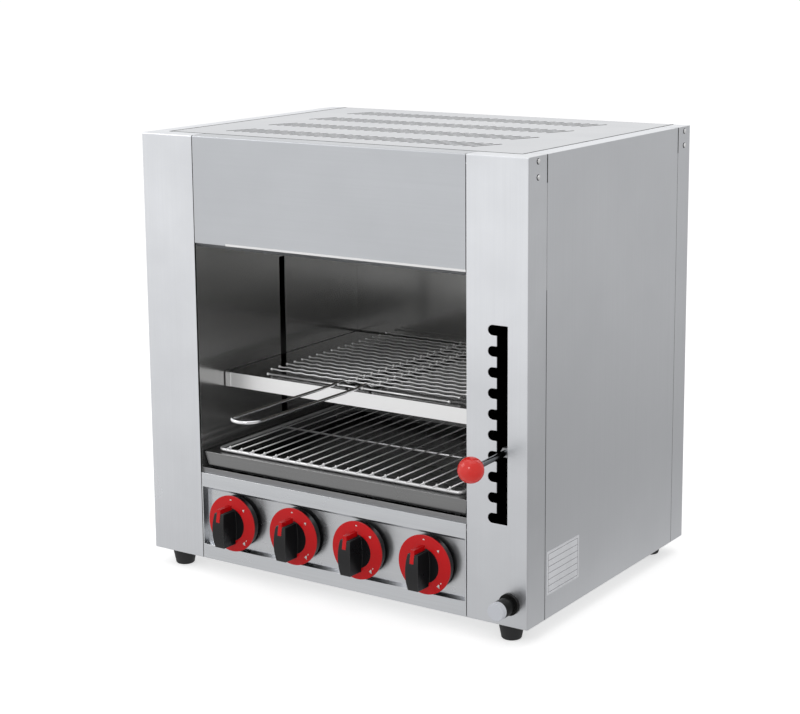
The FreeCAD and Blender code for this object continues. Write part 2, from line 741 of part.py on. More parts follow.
def back_panel():
    """Return the rear panel with its louvres, its laps and the hole for the gas inlet."""
    left = REAR_COLUMN_FACE + SEAM_GAP
    right = BODY_WIDTH - left
    inner = BACK_INNER - SHEET
    lap_top = BODY_HEIGHT - LAP_TOP_MARGIN
    pieces = [
        box(left, right, BACK_INNER, BODY_DEPTH, 0, BODY_HEIGHT),
        box(left - SEAM_LAP, left + SEAM_LAP, inner, BACK_INNER, LAP_LOW, lap_top),
        box(right - SEAM_LAP, right + SEAM_LAP, inner, BACK_INNER, LAP_LOW, lap_top),
    ]
    cutters = [rod_y(INLET_X, KNOB_HEIGHT, inner - CUT_OVERRUN, BODY_DEPTH + CUT_OVERRUN,
                     INLET_RADIUS + INLET_HOLE_GAP)]
    for x, z in back_screw_places():
        cutters.append(rod_y(x, z, inner - CUT_OVERRUN, BODY_DEPTH + CUT_OVERRUN,
                             SCREW_SHANK + SHAFT_CLEARANCE))
    first = MIDDLE_X - LOUVRE_COLUMN_PITCH * (LOUVRE_COLUMN_COUNT - 1) / 2
    for top in (LOUVRE_TOP, LOUVRE_LOW_TOP):
        for row in range(LOUVRE_ROW_COUNT):
            for i in range(LOUVRE_COLUMN_COUNT):
                centre = Vector(first + LOUVRE_COLUMN_PITCH * i, BACK_INNER - CUT_OVERRUN,
                                top - LOUVRE_ROW_PITCH * row)
                wire = stadium(centre, Vector(1, 0, 0), LOUVRE_LENGTH, LOUVRE_WIDTH,
                               Vector(0, 1, 0))
                cutters.append(Part.Face(wire).extrude(Vector(0, CUT_OVERRUN * 2 + SHEET, 0)))
    return joined(pieces).cut(cutters)


def base_pan():
    """Return the base pan: a plate with turned-up edges and vent slots."""
    side_front = COLUMN_SIDE + SEAM_GAP
    side_back = BODY_DEPTH - REAR_COLUMN_SIDE - SEAM_GAP
    pieces = [
        box(SHEET, BODY_WIDTH - SHEET, SHEET, BACK_INNER, 0, SHEET),
        box(SHEET, SHEET * 2, side_front, side_back, 0, PAN_FLANGE),
        box(BODY_WIDTH - SHEET * 2, BODY_WIDTH - SHEET, side_front, side_back, 0, PAN_FLANGE),
        box(REAR_COLUMN_FACE, BODY_WIDTH - REAR_COLUMN_FACE, BACK_INNER - SHEET, BACK_INNER,
            0, PAN_FLANGE),
    ]
    cutters = []
    first = MIDDLE_X - PAN_VENT_PITCH * (PAN_VENT_COUNT - 1) / 2
    for share in PAN_VENT_SHARES:
        for i in range(PAN_VENT_COUNT):
            centre = Vector(first + PAN_VENT_PITCH * i, BODY_DEPTH * share, -CUT_OVERRUN)
            wire = stadium(centre, Vector(1, 0, 0), PAN_VENT_LENGTH, PAN_VENT_WIDTH,
                           Vector(0, 0, 1))
            cutters.append(Part.Face(wire).extrude(Vector(0, 0, CUT_OVERRUN * 2)))
    return joined(pieces).cut(cutters)


def feet():
    """Return the four rubber feet."""
    solids = []
    for x in (FOOT_INSET, BODY_WIDTH - FOOT_INSET):
        for y in (FOOT_FRONT, FOOT_REAR):
            solids.append(Part.makeCone(FOOT_BOTTOM_RADIUS, FOOT_TOP_RADIUS, FOOT_HEIGHT,
                                        Vector(x, y, -FOOT_HEIGHT)))
    return group(solids)


def cavity_side_wall():
    """Return the right partition, with the slot that the rack's arm runs in."""
    wall = box(CAVITY_RIGHT, CAVITY_RIGHT + SHEET, WALL_FRONT, BACK_WALL_FRONT + SHEET,
               SHEET, PARTITION_TOP)
    slot = box(CAVITY_RIGHT - CUT_OVERRUN, CAVITY_RIGHT + CUT_OVERRUN, LINER_SLOT_FRONT,
               LINER_SLOT_FRONT + LINER_SLOT_WIDTH, LINER_SLOT_LOW, LINER_SLOT_HIGH)
    return wall.cut(slot)


def right_cavity_wall():
    """Return the right partition with the hole for the ignition lead."""
    hole = rod(Vector(CAVITY_RIGHT - CUT_OVERRUN, ELECTRODE_Y, LEAD_HIGH),
               Vector(CAVITY_RIGHT + CUT_OVERRUN, ELECTRODE_Y, LEAD_HIGH), LEAD_HOLE_RADIUS)
    return cavity_side_wall().cut(hole)


def cavity_back_wall():
    """Return the rear wall of the cavity with holes for the mixing tubes."""
    wall = box(CAVITY_LEFT, CAVITY_RIGHT, BACK_WALL_FRONT, BACK_WALL_FRONT + SHEET,
               RAIL_TOP, PARTITION_TOP)
    holes = [rod_y(x, MIXER_Z, BACK_WALL_FRONT - CUT_OVERRUN, BACK_WALL_FRONT + CUT_OVERRUN,
                   MIXER_RADIUS + MIXER_HOLE_GAP) for x in knob_centres()]
    return wall.cut(holes)


def cavity_floor():
    """Return the floor of the cavity with its turned-down sides."""
    back = BACK_WALL_FRONT + SHEET
    low = RAIL_TOP - FLOOR_FLANGE
    flange_front = RECESS_DEPTH + PANEL_RETURN + SEAM_GAP
    pieces = [
        box(CAVITY_LEFT, CAVITY_RIGHT, LEDGE_DEPTH, back, RAIL_TOP - SHEET, RAIL_TOP),
        box(CAVITY_LEFT, CAVITY_LEFT + SHEET, flange_front, back, low, RAIL_TOP),
        box(CAVITY_RIGHT - SHEET, CAVITY_RIGHT, flange_front, back, low, RAIL_TOP),
    ]
    return joined(pieces)


def recess_loft(grow, y0, y1):
    """Return the tapered block of the control recess, grown by a sheet's thickness or not."""
    wires = []
    for y, share in ((y0, 0), (y1, 1)):
        side = RECESS_SIDE_GAP + RECESS_SIDE_SLOPE * share - grow
        low = LOWER_RAIL_TOP + RECESS_RISE * share - grow
        high = RAIL_BOTTOM - RECESS_DROP * share + grow
        left = CAVITY_LEFT + side
        right = CAVITY_RIGHT - side
        corners = [Vector(left, y, low), Vector(right, y, low),
                   Vector(right, y, high), Vector(left, y, high)]
        wires.append(path_wire(corners, [0] * len(corners), True))
    return Part.makeLoft(wires, True, True)


def control_frame():
    """Return the frame round the control recess, with its sloped returns and its ledge."""
    opening = recess_loft(0, 0, RECESS_DEPTH)
    face = box(CAVITY_LEFT, CAVITY_RIGHT, 0, SHEET, 0, RAIL_TOP)
    ledge = box(CAVITY_LEFT, CAVITY_RIGHT, 0, LEDGE_DEPTH, RAIL_TOP - SHEET, RAIL_TOP)
    returns = recess_loft(SHEET, 0, RECESS_DEPTH)
    return joined([face, ledge, returns]).cut(opening)


def control_panel():
    """Return the panel that the gas taps are fixed to."""
    back = RECESS_DEPTH + SHEET
    pieces = [
        box(CAVITY_LEFT, CAVITY_RIGHT, RECESS_DEPTH, back, PANEL_LOW, PANEL_HIGH),
        box(CAVITY_LEFT, CAVITY_LEFT + SHEET, RECESS_DEPTH, RECESS_DEPTH + PANEL_RETURN,
            PANEL_LOW, PANEL_HIGH),
        box(CAVITY_RIGHT - SHEET, CAVITY_RIGHT, RECESS_DEPTH, RECESS_DEPTH + PANEL_RETURN,
            PANEL_LOW, PANEL_HIGH),
    ]
    holes = [rod_y(x, KNOB_HEIGHT, RECESS_DEPTH - CUT_OVERRUN, back + CUT_OVERRUN,
                   PANEL_HOLE_RADIUS) for x in knob_centres()]
    return joined(pieces).cut(holes)


def tray_runners():
    """Return the two strips that the drip tray slides on."""
    low_left = TRAY_SIDE + TRAY_FLARE + RUNNER_INSET
    back = TRAY_BACK - TRAY_FLARE
    left = box(low_left, low_left + RUNNER_WIDTH, RUNNER_FRONT, back,
               RAIL_TOP, TRAY_BOTTOM - RUNNING_GAP)
    return group([left, mirrored(left)])


def burner_frame():
    """Return the plate under the burners with one window for each."""
    plate = box(CAVITY_LEFT, CAVITY_RIGHT, BURNER_FRAME_FRONT, BACK_WALL_FRONT,
                BURNER_SEAT - SHEET, BURNER_SEAT)
    flange = box(CAVITY_LEFT, CAVITY_RIGHT, BURNER_FRAME_FRONT, BURNER_FRAME_FRONT + SHEET,
                 BURNER_SEAT - SHEET, BURNER_SEAT + BURNER_FRAME_FLANGE)
    half = BURNER_WIDTH / 2 - SHEET - BURNER_LIP
    cutters = [box(x - half, x + half, BURNER_FRONT + SHEET + BURNER_LIP,
                   BURNER_BACK - SHEET - BURNER_LIP, BURNER_SEAT - CUT_OVERRUN,
                   BURNER_SEAT + CUT_OVERRUN) for x in knob_centres()]
    cutters.append(rod_z(ELECTRODE_X, ELECTRODE_Y, BURNER_SEAT - CUT_OVERRUN,
                         BURNER_SEAT + CUT_OVERRUN, ELECTRODE_RADIUS + SHAFT_CLEARANCE))
    return joined([plate, flange]).cut(cutters)


def burner_housings():
    """Return the four burner boxes, open below, with the hole for the mixing tube."""
    solids = []
    top = BURNER_SEAT + BURNER_HEIGHT
    for x in knob_centres():
        half = BURNER_WIDTH / 2
        inner = half - SHEET
        shell = box(x - half, x + half, BURNER_FRONT, BURNER_BACK, BURNER_SEAT, top)
        hollow = box(x - inner, x + inner, BURNER_FRONT + SHEET, BURNER_BACK - SHEET,
                     BURNER_SEAT + SHEET, top - SHEET)
        mouth = inner - BURNER_LIP
        window = box(x - mouth, x + mouth, BURNER_FRONT + SHEET + BURNER_LIP,
                     BURNER_BACK - SHEET - BURNER_LIP, BURNER_SEAT - CUT_OVERRUN,
                     BURNER_SEAT + CUT_OVERRUN)
        hole = rod_y(x, MIXER_Z, BURNER_BACK - CUT_OVERRUN, BURNER_BACK + CUT_OVERRUN,
                     MIXER_BORE)
        solids.append(shell.cut([hollow, window, hole]))
    return group(solids)


def burner_plaques():
    """Return the ceramic plaques, two to a burner."""
    solids = []
    low = BURNER_SEAT + SHEET
    start = BURNER_FRONT + SHEET + BURNER_LIP_GAP
    end = BURNER_BACK - SHEET - BURNER_LIP_GAP
    middle = (start + end) / 2
    for x in knob_centres():
        half = BURNER_WIDTH / 2 - SHEET - BURNER_LIP_GAP
        for y0, y1 in ((start, middle - PLAQUE_GAP / 2), (middle + PLAQUE_GAP / 2, end)):
            solids.append(box(x - half, x + half, y0, y1, low, low + PLAQUE_THICKNESS))
    return group(solids)


def mixing_tubes():
    """Return the four tubes that take gas and air into the burners."""
    solids = []
    for x in knob_centres():
        outer = rod_y(x, MIXER_Z, BURNER_BACK, MIXER_END, MIXER_RADIUS)
        bore = rod_y(x, MIXER_Z, BURNER_BACK - CUT_OVERRUN, MIXER_END + CUT_OVERRUN, MIXER_BORE)
        solids.append(outer.cut(bore))
    return group(solids)


def injectors():
    """Return the four gas injectors behind the mixing tubes."""
    solids = []
    for x in knob_centres():
        pieces = [
            rod_y(x, MIXER_Z, INJECTOR_FRONT, INJECTOR_BACK, INJECTOR_RADIUS),
            rod_y(x, MIXER_Z, INJECTOR_FRONT - INJECTOR_NOZZLE_LENGTH, INJECTOR_FRONT,
                  INJECTOR_NOZZLE_RADIUS),
            rod_z(x, TUBE_BACK, MIXER_Z - INJECTOR_DROP, MIXER_Z, TUBE_RADIUS + SHEET),
        ]
        solids.append(joined(pieces))
    return group(solids)


def heat_shield():
    """Return the shield over the burners with the gaps that the flue gas leaves by."""
    plate = box(CAVITY_LEFT, CAVITY_RIGHT, SHIELD_FRONT, BACK_WALL_FRONT,
                SHIELD_HEIGHT, SHIELD_HEIGHT + SHEET)
    flange = box(CAVITY_LEFT, CAVITY_RIGHT, SHIELD_FRONT, SHIELD_FRONT + SHEET,
                 SHIELD_HEIGHT - SHIELD_FLANGE, SHIELD_HEIGHT + SHEET)
    centres = knob_centres()
    cutters = []
    for x in [centre + BURNER_PITCH / 2 for centre in centres[:-1]]:
        cutters.append(box(x - FLUE_WIDTH / 2, x + FLUE_WIDTH / 2, SHIELD_FRONT + FLUE_MARGIN,
                           BACK_WALL_FRONT - FLUE_MARGIN, SHIELD_HEIGHT - CUT_OVERRUN,
                           SHIELD_HEIGHT + CUT_OVERRUN))
    return joined([plate, flange]).cut(cutters)


def manifold_block():
    """Return the outside of the gas manifold."""
    return rod(Vector(MANIFOLD_LEFT, MANIFOLD_DEPTH, KNOB_HEIGHT),
               Vector(MANIFOLD_RIGHT, MANIFOLD_DEPTH, KNOB_HEIGHT), MANIFOLD_RADIUS)


def gas_manifold():
    """Return the gas manifold, bored from its right end."""
    bore = rod(Vector(MANIFOLD_LEFT + MANIFOLD_CAP, MANIFOLD_DEPTH, KNOB_HEIGHT),
               Vector(MANIFOLD_RIGHT - MANIFOLD_CAP, MANIFOLD_DEPTH, KNOB_HEIGHT),
               MANIFOLD_BORE)
    port = rod_y(INLET_X, KNOB_HEIGHT, MANIFOLD_DEPTH, MANIFOLD_DEPTH + MANIFOLD_RADIUS,
                 INLET_BORE)
    return manifold_block().cut(joined([bore, port]))


def gas_valves():
    """Return the bodies of the four gas taps."""
    solids = []
    front = RECESS_DEPTH + SHEET
    half = VALVE_FLANGE / 2
    for x in knob_centres():
        pieces = [
            rod_y(x, KNOB_HEIGHT, front, VALVE_BACK, VALVE_RADIUS),
            box(x - half, x + half, front, front + VALVE_FLANGE_THICKNESS,
                KNOB_HEIGHT - VALVE_RADIUS, KNOB_HEIGHT + VALVE_RADIUS),
            rod_z(x, VALVE_OUTLET_DEPTH, KNOB_HEIGHT, VALVE_OUTLET_TOP, VALVE_OUTLET_RADIUS),
        ]
        bore = rod_y(x, KNOB_HEIGHT, front - CUT_OVERRUN, VALVE_BORE_END,
                     PLUG_RADIUS + SHAFT_CLEARANCE)
        solids.append(joined(pieces).cut([bore, manifold_block()]))
    return group(solids)


def gas_tubes():
    """Return the four tubes that run under the floor and up behind the cavity."""
    solids = []
    for x in knob_centres():
        points = [
            Vector(x, VALVE_OUTLET_DEPTH, VALVE_OUTLET_TOP),
            Vector(x, VALVE_OUTLET_DEPTH, TUBE_LEVEL),
            Vector(x, TUBE_BACK, TUBE_LEVEL),
            Vector(x, TUBE_BACK, MIXER_Z - INJECTOR_DROP),
        ]
        solids.append(bent_rod(points, [0, TUBE_BEND, TUBE_BEND, 0], TUBE_RADIUS))
    return group(solids)


def hexagon(x, z, radius, y0, y1):
    """Return a six-sided nut blank along Y."""
    turns = [math.radians(FULL_TURN / NUT_SIDES * i) for i in range(NUT_SIDES)]
    points = [(x + radius * math.cos(turn), z + radius * math.sin(turn)) for turn in turns]
    return plate_xz(points, y0, y1)


def gas_inlet():
    """Return the inlet nipple with its collar, its locknut and the feed pipe to the manifold."""
    collar_back = BODY_DEPTH + INLET_COLLAR
    nipple_front = collar_back + INLET_RELIEF
    pieces = [
        rod_y(INLET_X, KNOB_HEIGHT, nipple_front, BACK_REACH, INLET_RADIUS),
        rod_y(INLET_X, KNOB_HEIGHT, BODY_DEPTH, collar_back, INLET_COLLAR_RADIUS),
        rod_y(INLET_X, KNOB_HEIGHT, INLET_SHOULDER, nipple_front, INLET_NECK_RADIUS),
        rod_y(INLET_X, KNOB_HEIGHT, MANIFOLD_DEPTH, INLET_SHOULDER, INLET_PIPE_RADIUS),
        hexagon(INLET_X, KNOB_HEIGHT, INLET_NUT_RADIUS, BACK_INNER - SHEET - INLET_NUT_THICKNESS,
                BACK_INNER - SHEET),
    ]
    bore = rod_y(INLET_X, KNOB_HEIGHT, MANIFOLD_DEPTH, BACK_REACH + CUT_OVERRUN, INLET_BORE)
    return joined(pieces).cut([bore, manifold_block()])


def spindle(x, tip, back, extra):
    """Return the flatted spindle of a tap, or the cutter of its bore."""
    radius = SPINDLE_RADIUS + extra
    shaft = rod_y(x, KNOB_HEIGHT, tip, back, radius)
    flat = box(x - radius * 2, x + radius * 2, tip - CUT_OVERRUN, back + CUT_OVERRUN,
               KNOB_HEIGHT + SPINDLE_FLAT + extra, KNOB_HEIGHT + radius * 2)
    return shaft.cut(flat)


def valve_stem(x):
    """Return the plug of a tap with its spindle."""
    plug = rod_y(x, KNOB_HEIGHT, PLUG_START, PLUG_END, PLUG_RADIUS)
    return joined([plug, spindle(x, -SPINDLE_TIP, PLUG_START + SHEET, 0)])


def arc_face(points):
    """Return a face from a list of corner pairs; a triple adds an arc through its middle."""
    edges = []
    for item in points:
        if len(item) == 3:
            edges.append(Part.Arc(*item).toShape())
        else:
            edges.append(Part.LineSegment(*item).toShape())
    return Part.Face(Part.Wire(edges))


def knob_grip(x, proud):
    """Return the upright grip of a knob: barrel sides and a crowned front."""
    top = KNOB_HEIGHT + GRIP_TOP + proud
    bottom = KNOB_HEIGHT - GRIP_BOTTOM - proud
    middle = (top + bottom) / 2
    front = -(GRIP_FRONT + proud)
    crown = front - GRIP_CROWN
    reach = -(GRIP_FRONT + GRIP_CROWN) * 2
    sides = arc_face([
        (Vector(x - GRIP_HALF_END, reach, bottom), Vector(x - GRIP_HALF_MIDDLE, reach, middle),
         Vector(x - GRIP_HALF_END, reach, top)),
        (Vector(x - GRIP_HALF_END, reach, top), Vector(x + GRIP_HALF_END, reach, top)),
        (Vector(x + GRIP_HALF_END, reach, top), Vector(x + GRIP_HALF_MIDDLE, reach, middle),
         Vector(x + GRIP_HALF_END, reach, bottom)),
        (Vector(x + GRIP_HALF_END, reach, bottom), Vector(x - GRIP_HALF_END, reach, bottom)),
    ]).extrude(Vector(0, -reach, 0))
    left = x - GRIP_HALF_MIDDLE * 2
    right = x + GRIP_HALF_MIDDLE * 2
    base = -(DISC_FRONT - DISC_THICKNESS)
    profile = arc_face([
        (Vector(left, front, bottom), Vector(left, crown, middle), Vector(left, front, top)),
        (Vector(left, front, top), Vector(left, base, top)),
        (Vector(left, base, top), Vector(left, base, bottom)),
        (Vector(left, base, bottom), Vector(left, front, bottom)),
    ]).extrude(Vector(right - left, 0, 0))
    return sides.common(profile)


def knob(x):
    """Return the black moulding of a knob: skirt, disc, hub and grip."""
    disc_back = -(DISC_FRONT - DISC_THICKNESS)
    dish_front = -(DISC_FRONT + RING_EDGE + RING_CONE - DISH_DEPTH)
    skirt = rod_y(x, KNOB_HEIGHT, -DISC_FRONT, SKIRT_BACK, SKIRT_RADIUS)
    hollow = rod_y(x, KNOB_HEIGHT, disc_back, SKIRT_BACK + CUT_OVERRUN,
                   SKIRT_RADIUS - SKIRT_WALL)
    pieces = [
        skirt.cut(hollow),
        rod_y(x, KNOB_HEIGHT, dish_front, -DISC_FRONT, RING_BORE - SHAFT_CLEARANCE),
        rod_y(x, KNOB_HEIGHT, disc_back, HUB_BACK, HUB_RADIUS),
        knob_grip(x, 0),
    ]
    bore = spindle(x, -(SPINDLE_TIP + BORE_CLEAR_END), HUB_BACK + CUT_OVERRUN, SHAFT_CLEARANCE)
    return joined(pieces).cut(bore)


def knob_ring(x):
    """Return the red ring insert with the fin that runs over the top of the grip."""
    back = -DISC_FRONT
    outline = [
        Vector(x + RING_BORE, back, KNOB_HEIGHT),
        Vector(x + RING_RADIUS, back, KNOB_HEIGHT),
        Vector(x + RING_RADIUS, back - RING_EDGE, KNOB_HEIGHT),
        Vector(x + RING_BORE, back - RING_EDGE - RING_CONE, KNOB_HEIGHT),
    ]
    face = Part.Face(path_wire(outline, [0] * len(outline), True))
    ring = face.revolve(Vector(x, 0, KNOB_HEIGHT), Vector(0, 1, 0), FULL_TURN)
    band = box(x - FIN_HALF, x + FIN_HALF, -(GRIP_FRONT + GRIP_CROWN) * 2, back,
               KNOB_HEIGHT + FIN_LOW, KNOB_HEIGHT + FIN_TOP)
    over = knob_grip(x, FIN_PROUD)
    crest = box(x - FIN_HALF, x + FIN_HALF, -(GRIP_FRONT + FIN_PROUD), back,
                KNOB_HEIGHT + GRIP_TOP, KNOB_HEIGHT + FIN_TOP)
    fin = joined([band.common(over), crest])
    return joined([ring, fin]).cut(knob(x))


def igniter_body():
    """Return the piezo igniter's body: neck, clamping nut and barrel."""
    pieces = [
        rod_y(IGNITER_X, IGNITER_Z, -IGNITER_NECK, IGNITER_BACK, IGNITER_RADIUS),
        rod_y(IGNITER_X, IGNITER_Z, SHEET, SHEET + IGNITER_NUT_THICKNESS, IGNITER_NUT_RADIUS),
    ]
    bore = rod_y(IGNITER_X, IGNITER_Z, -IGNITER_NECK - CUT_OVERRUN, IGNITER_BORE_END,
                 IGNITER_STEM_RADIUS + SHAFT_CLEARANCE)
    return joined(pieces).cut(bore)


def igniter_bezel():
    """Return the igniter's front ring."""
    ring = rod_y(IGNITER_X, IGNITER_Z, -BEZEL_THICKNESS, 0, BEZEL_RADIUS)
    bore = rod_y(IGNITER_X, IGNITER_Z, -BEZEL_THICKNESS - CUT_OVERRUN, CUT_OVERRUN,
                 IGNITER_RADIUS + SHAFT_CLEARANCE)
    return ring.cut(bore)


def igniter_button():
    """Return the igniter's push cap with its stem."""
    cap = rod_y(IGNITER_X, IGNITER_Z, -CAP_FRONT, -CAP_BACK, CAP_RADIUS)
    front_edges = [edge for edge in cap.Edges if edge.CenterOfMass.y < -CAP_FLOOR
                   and len(edge.Vertexes) == 1]
    cap = cap.makeFillet(CAP_EDGE, front_edges)
    hollow = rod_y(IGNITER_X, IGNITER_Z, -CAP_FLOOR, -CAP_BACK + CUT_OVERRUN, CAP_INNER_RADIUS)
    stem = rod_y(IGNITER_X, IGNITER_Z, -CAP_FLOOR, IGNITER_STEM_END, IGNITER_STEM_RADIUS)
    return joined([cap.cut(hollow), stem])


def spark_electrode():
    """Return the ceramic electrode with its wire tip."""
    ceramic = rod_z(ELECTRODE_X, ELECTRODE_Y, ELECTRODE_LOW, ELECTRODE_TOP, ELECTRODE_RADIUS)
    tip = rod_z(ELECTRODE_X, ELECTRODE_Y, ELECTRODE_TIP_LOW, ELECTRODE_LOW,
                ELECTRODE_TIP_RADIUS)
    return joined([ceramic, tip])


def ignition_lead():
    """Return the lead from the igniter up and across to the electrode."""
    turn_y = IGNITER_BACK + LEAD_START_LENGTH
    points = [
        Vector(IGNITER_X, IGNITER_BACK, IGNITER_Z),
        Vector(IGNITER_X, turn_y, IGNITER_Z),
        Vector(LEAD_X, turn_y, IGNITER_Z + LEAD_START_LENGTH),
        Vector(LEAD_X, ELECTRODE_Y, LEAD_HIGH - LEAD_START_LENGTH * 2),
        Vector(LEAD_X, ELECTRODE_Y, LEAD_HIGH),
        Vector(ELECTRODE_X, ELECTRODE_Y, LEAD_HIGH),
        Vector(ELECTRODE_X, ELECTRODE_Y, ELECTRODE_TOP),
    ]
    radii = [0] + [LEAD_BEND] * (len(points) - 2) + [0]
    return bent_rod(points, radii, LEAD_RADIUS)


def guide_rods():
    """Return the two upright rods that the carriages slide on."""
    right = rod_z(GUIDE_X, SLOT_MIDDLE_Y, GUIDE_LOW, GUIDE_HIGH, GUIDE_RADIUS)
    return group([right, mirrored(right)])


def guide_bracket(low, flange_low):
    """Return one bracket that holds an end of the right guide rod."""
    wall = CAVITY_RIGHT + SHEET
    front = SLOT_MIDDLE_Y - BRACKET_WIDTH / 2
    back = SLOT_MIDDLE_Y + BRACKET_WIDTH / 2
    pieces = [
        box(wall, wall + BRACKET_REACH, front, back, low, low + BRACKET_THICKNESS),
        box(wall, wall + BRACKET_FLANGE_THICKNESS, front, back, flange_low,
            flange_low + BRACKET_FLANGE),
    ]
    hole = rod_z(GUIDE_X, SLOT_MIDDLE_Y, low - CUT_OVERRUN, low + BRACKET_THICKNESS + CUT_OVERRUN,
                 GUIDE_RADIUS + SHAFT_CLEARANCE)
    return joined(pieces).cut(hole)


def guide_brackets():
    """Return the four brackets of the guide rods."""
    upper = guide_bracket(GUIDE_HIGH - BRACKET_THICKNESS, GUIDE_HIGH - BRACKET_THICKNESS)
    lower = guide_bracket(GUIDE_LOW, GUIDE_LOW + BRACKET_THICKNESS - BRACKET_FLANGE)
    return group([upper, lower, mirrored(upper), mirrored(lower)])


def carriage():
    """Return the right carriage: block, arm through the slot and shelf under the rack."""
    right = CARRIAGE_LEFT + CARRIAGE_WIDTH
    top = CARRIAGE_LOW + CARRIAGE_HEIGHT
    shelf_right = CAVITY_RIGHT - SHELF_GAP
    shelf_left = shelf_right - SHELF_WIDTH
    arm_front = SLOT_MIDDLE_Y - ARM_WIDTH / 2
    pieces = [
        box(CARRIAGE_LEFT, right, CARRIAGE_FRONT, CARRIAGE_FRONT + CARRIAGE_DEPTH,
            CARRIAGE_LOW, top),
        box(shelf_left, CARRIAGE_LEFT, arm_front, arm_front + ARM_WIDTH,
            ARM_TOP - ARM_HEIGHT, ARM_TOP),
        box(shelf_left, shelf_right, SLOT_MIDDLE_Y - SHELF_LENGTH / 2,
            SLOT_MIDDLE_Y + SHELF_LENGTH / 2, ARM_TOP - SHELF_THICKNESS, ARM_TOP),
    ]
    bore = rod_z(GUIDE_X, SLOT_MIDDLE_Y, CARRIAGE_LOW - CUT_OVERRUN, top + CUT_OVERRUN,
                 BUSH_RADIUS + SHAFT_CLEARANCE)
    return joined(pieces).cut(bore)


def hull_plate(x0, z0, r0, x1, z1, r1, y0, y1):
    """Return a plate round two bosses, with straight sides tangent to both."""
    across = math.atan2(z1 - z0, x1 - x0)
    spread = math.acos((r0 - r1) / math.hypot(x1 - x0, z1 - z0))
    up = across + spread
    down = across - spread

    def on(x, z, radius, angle):
        return Vector(x + radius * math.cos(angle), y0, z + radius * math.sin(angle))

    edges = [
        Part.LineSegment(on(x0, z0, r0, up), on(x1, z1, r1, up)).toShape(),
        Part.Arc(on(x1, z1, r1, up), on(x1, z1, r1, across), on(x1, z1, r1, down)).toShape(),
        Part.LineSegment(on(x1, z1, r1, down), on(x0, z0, r0, down)).toShape(),
        Part.Arc(on(x0, z0, r0, down), on(x0, z0, r0, across + math.pi),
                 on(x0, z0, r0, up)).toShape(),
    ]
    return Part.Face(Part.Wire(edges)).extrude(Vector(0, y1 - y0, 0))


def carriage_right():
    """Return the right carriage with the plate and the pin that the lever turns on."""
    top_boss_z = CARRIAGE_LOW + CARRIAGE_HEIGHT / 2
    plate = hull_plate(CARRIAGE_LEFT + CARRIAGE_WIDTH / 2, top_boss_z, CARRIAGE_HEIGHT / 2,
                       PIVOT_X, PIVOT_Z, PIVOT_BOSS_RADIUS,
                       CARRIAGE_FRONT, CARRIAGE_FRONT + PIVOT_PLATE)
    crank_back = CRANK_FRONT + CRANK_THICKNESS
    pieces = [
        carriage(),
        plate,
        rod_y(PIVOT_X, PIVOT_Z, CRANK_FRONT - RUNNING_GAP, CARRIAGE_FRONT, PIVOT_RADIUS),
        rod_y(PIVOT_X, PIVOT_Z, crank_back + RUNNING_GAP, CARRIAGE_FRONT,
              PIVOT_SHOULDER_RADIUS),
        rod_y(PIVOT_X, PIVOT_Z, CRANK_FRONT - RUNNING_GAP - PIVOT_HEAD,
              CRANK_FRONT - RUNNING_GAP, PIVOT_SHOULDER_RADIUS),
    ]
    bore = rod_z(GUIDE_X, SLOT_MIDDLE_Y, CARRIAGE_LOW - CARRIAGE_HEIGHT,
                 CARRIAGE_LOW + CARRIAGE_HEIGHT + CUT_OVERRUN, BUSH_RADIUS + SHAFT_CLEARANCE)
    return joined(pieces).cut(bore)


def carriage_bushes():
    """Return the two flanged bushes that run on the guide rods."""
    low = CARRIAGE_LOW
    high = CARRIAGE_LOW + CARRIAGE_HEIGHT
    pieces = [
        rod_z(GUIDE_X, SLOT_MIDDLE_Y, low, high + BUSH_PROUD, BUSH_RADIUS),
        rod_z(GUIDE_X, SLOT_MIDDLE_Y, high, high + BUSH_PROUD, BUSH_FLANGE_RADIUS),
    ]
    bore = rod_z(GUIDE_X, SLOT_MIDDLE_Y, low - CUT_OVERRUN, high + CUT_OVERRUN,
                 GUIDE_RADIUS + SHAFT_CLEARANCE)
    right = joined(pieces).cut(bore)
    return group([right, mirrored(right)])


def rack_tray():
    """Return the rack: a shallow folded sheet with a tab at each front corner."""
    left = CAVITY_LEFT + RACK_SIDE_GAP
    right = CAVITY_RIGHT - RACK_SIDE_GAP
    low = RACK_TOP - RACK_DEEP
    shell = box(left, right, RACK_FRONT, RACK_BACK, low, RACK_TOP)
    hollow = box(left + SHEET, right - SHEET, RACK_FRONT + SHEET, RACK_BACK - SHEET,
                 low - CUT_OVERRUN, RACK_TOP - SHEET)
    tabs = [box(x, x + RACK_TAB_WIDTH, RACK_FRONT - RACK_TAB_SHEET, RACK_FRONT, low,
                RACK_TOP - RACK_TAB_SHEET) for x in (left, right - RACK_TAB_WIDTH)]
    return joined([shell.cut(hollow)] + tabs)


def lever_direction():
    """Return the direction from the lever's bend to the middle of its ball."""
    return Vector(LEVER_X, BALL_Y, BALL_Z) - Vector(LEVER_X, LEVER_BEND_Y, LEVER_Z)


def lever_tip():
    """Return the end of the rod inside the ball."""
    along = lever_direction()
    reach = along.Length - BALL_RADIUS + BALL_BORE
    return Vector(LEVER_X, LEVER_BEND_Y, LEVER_Z) + along.normalize() * reach


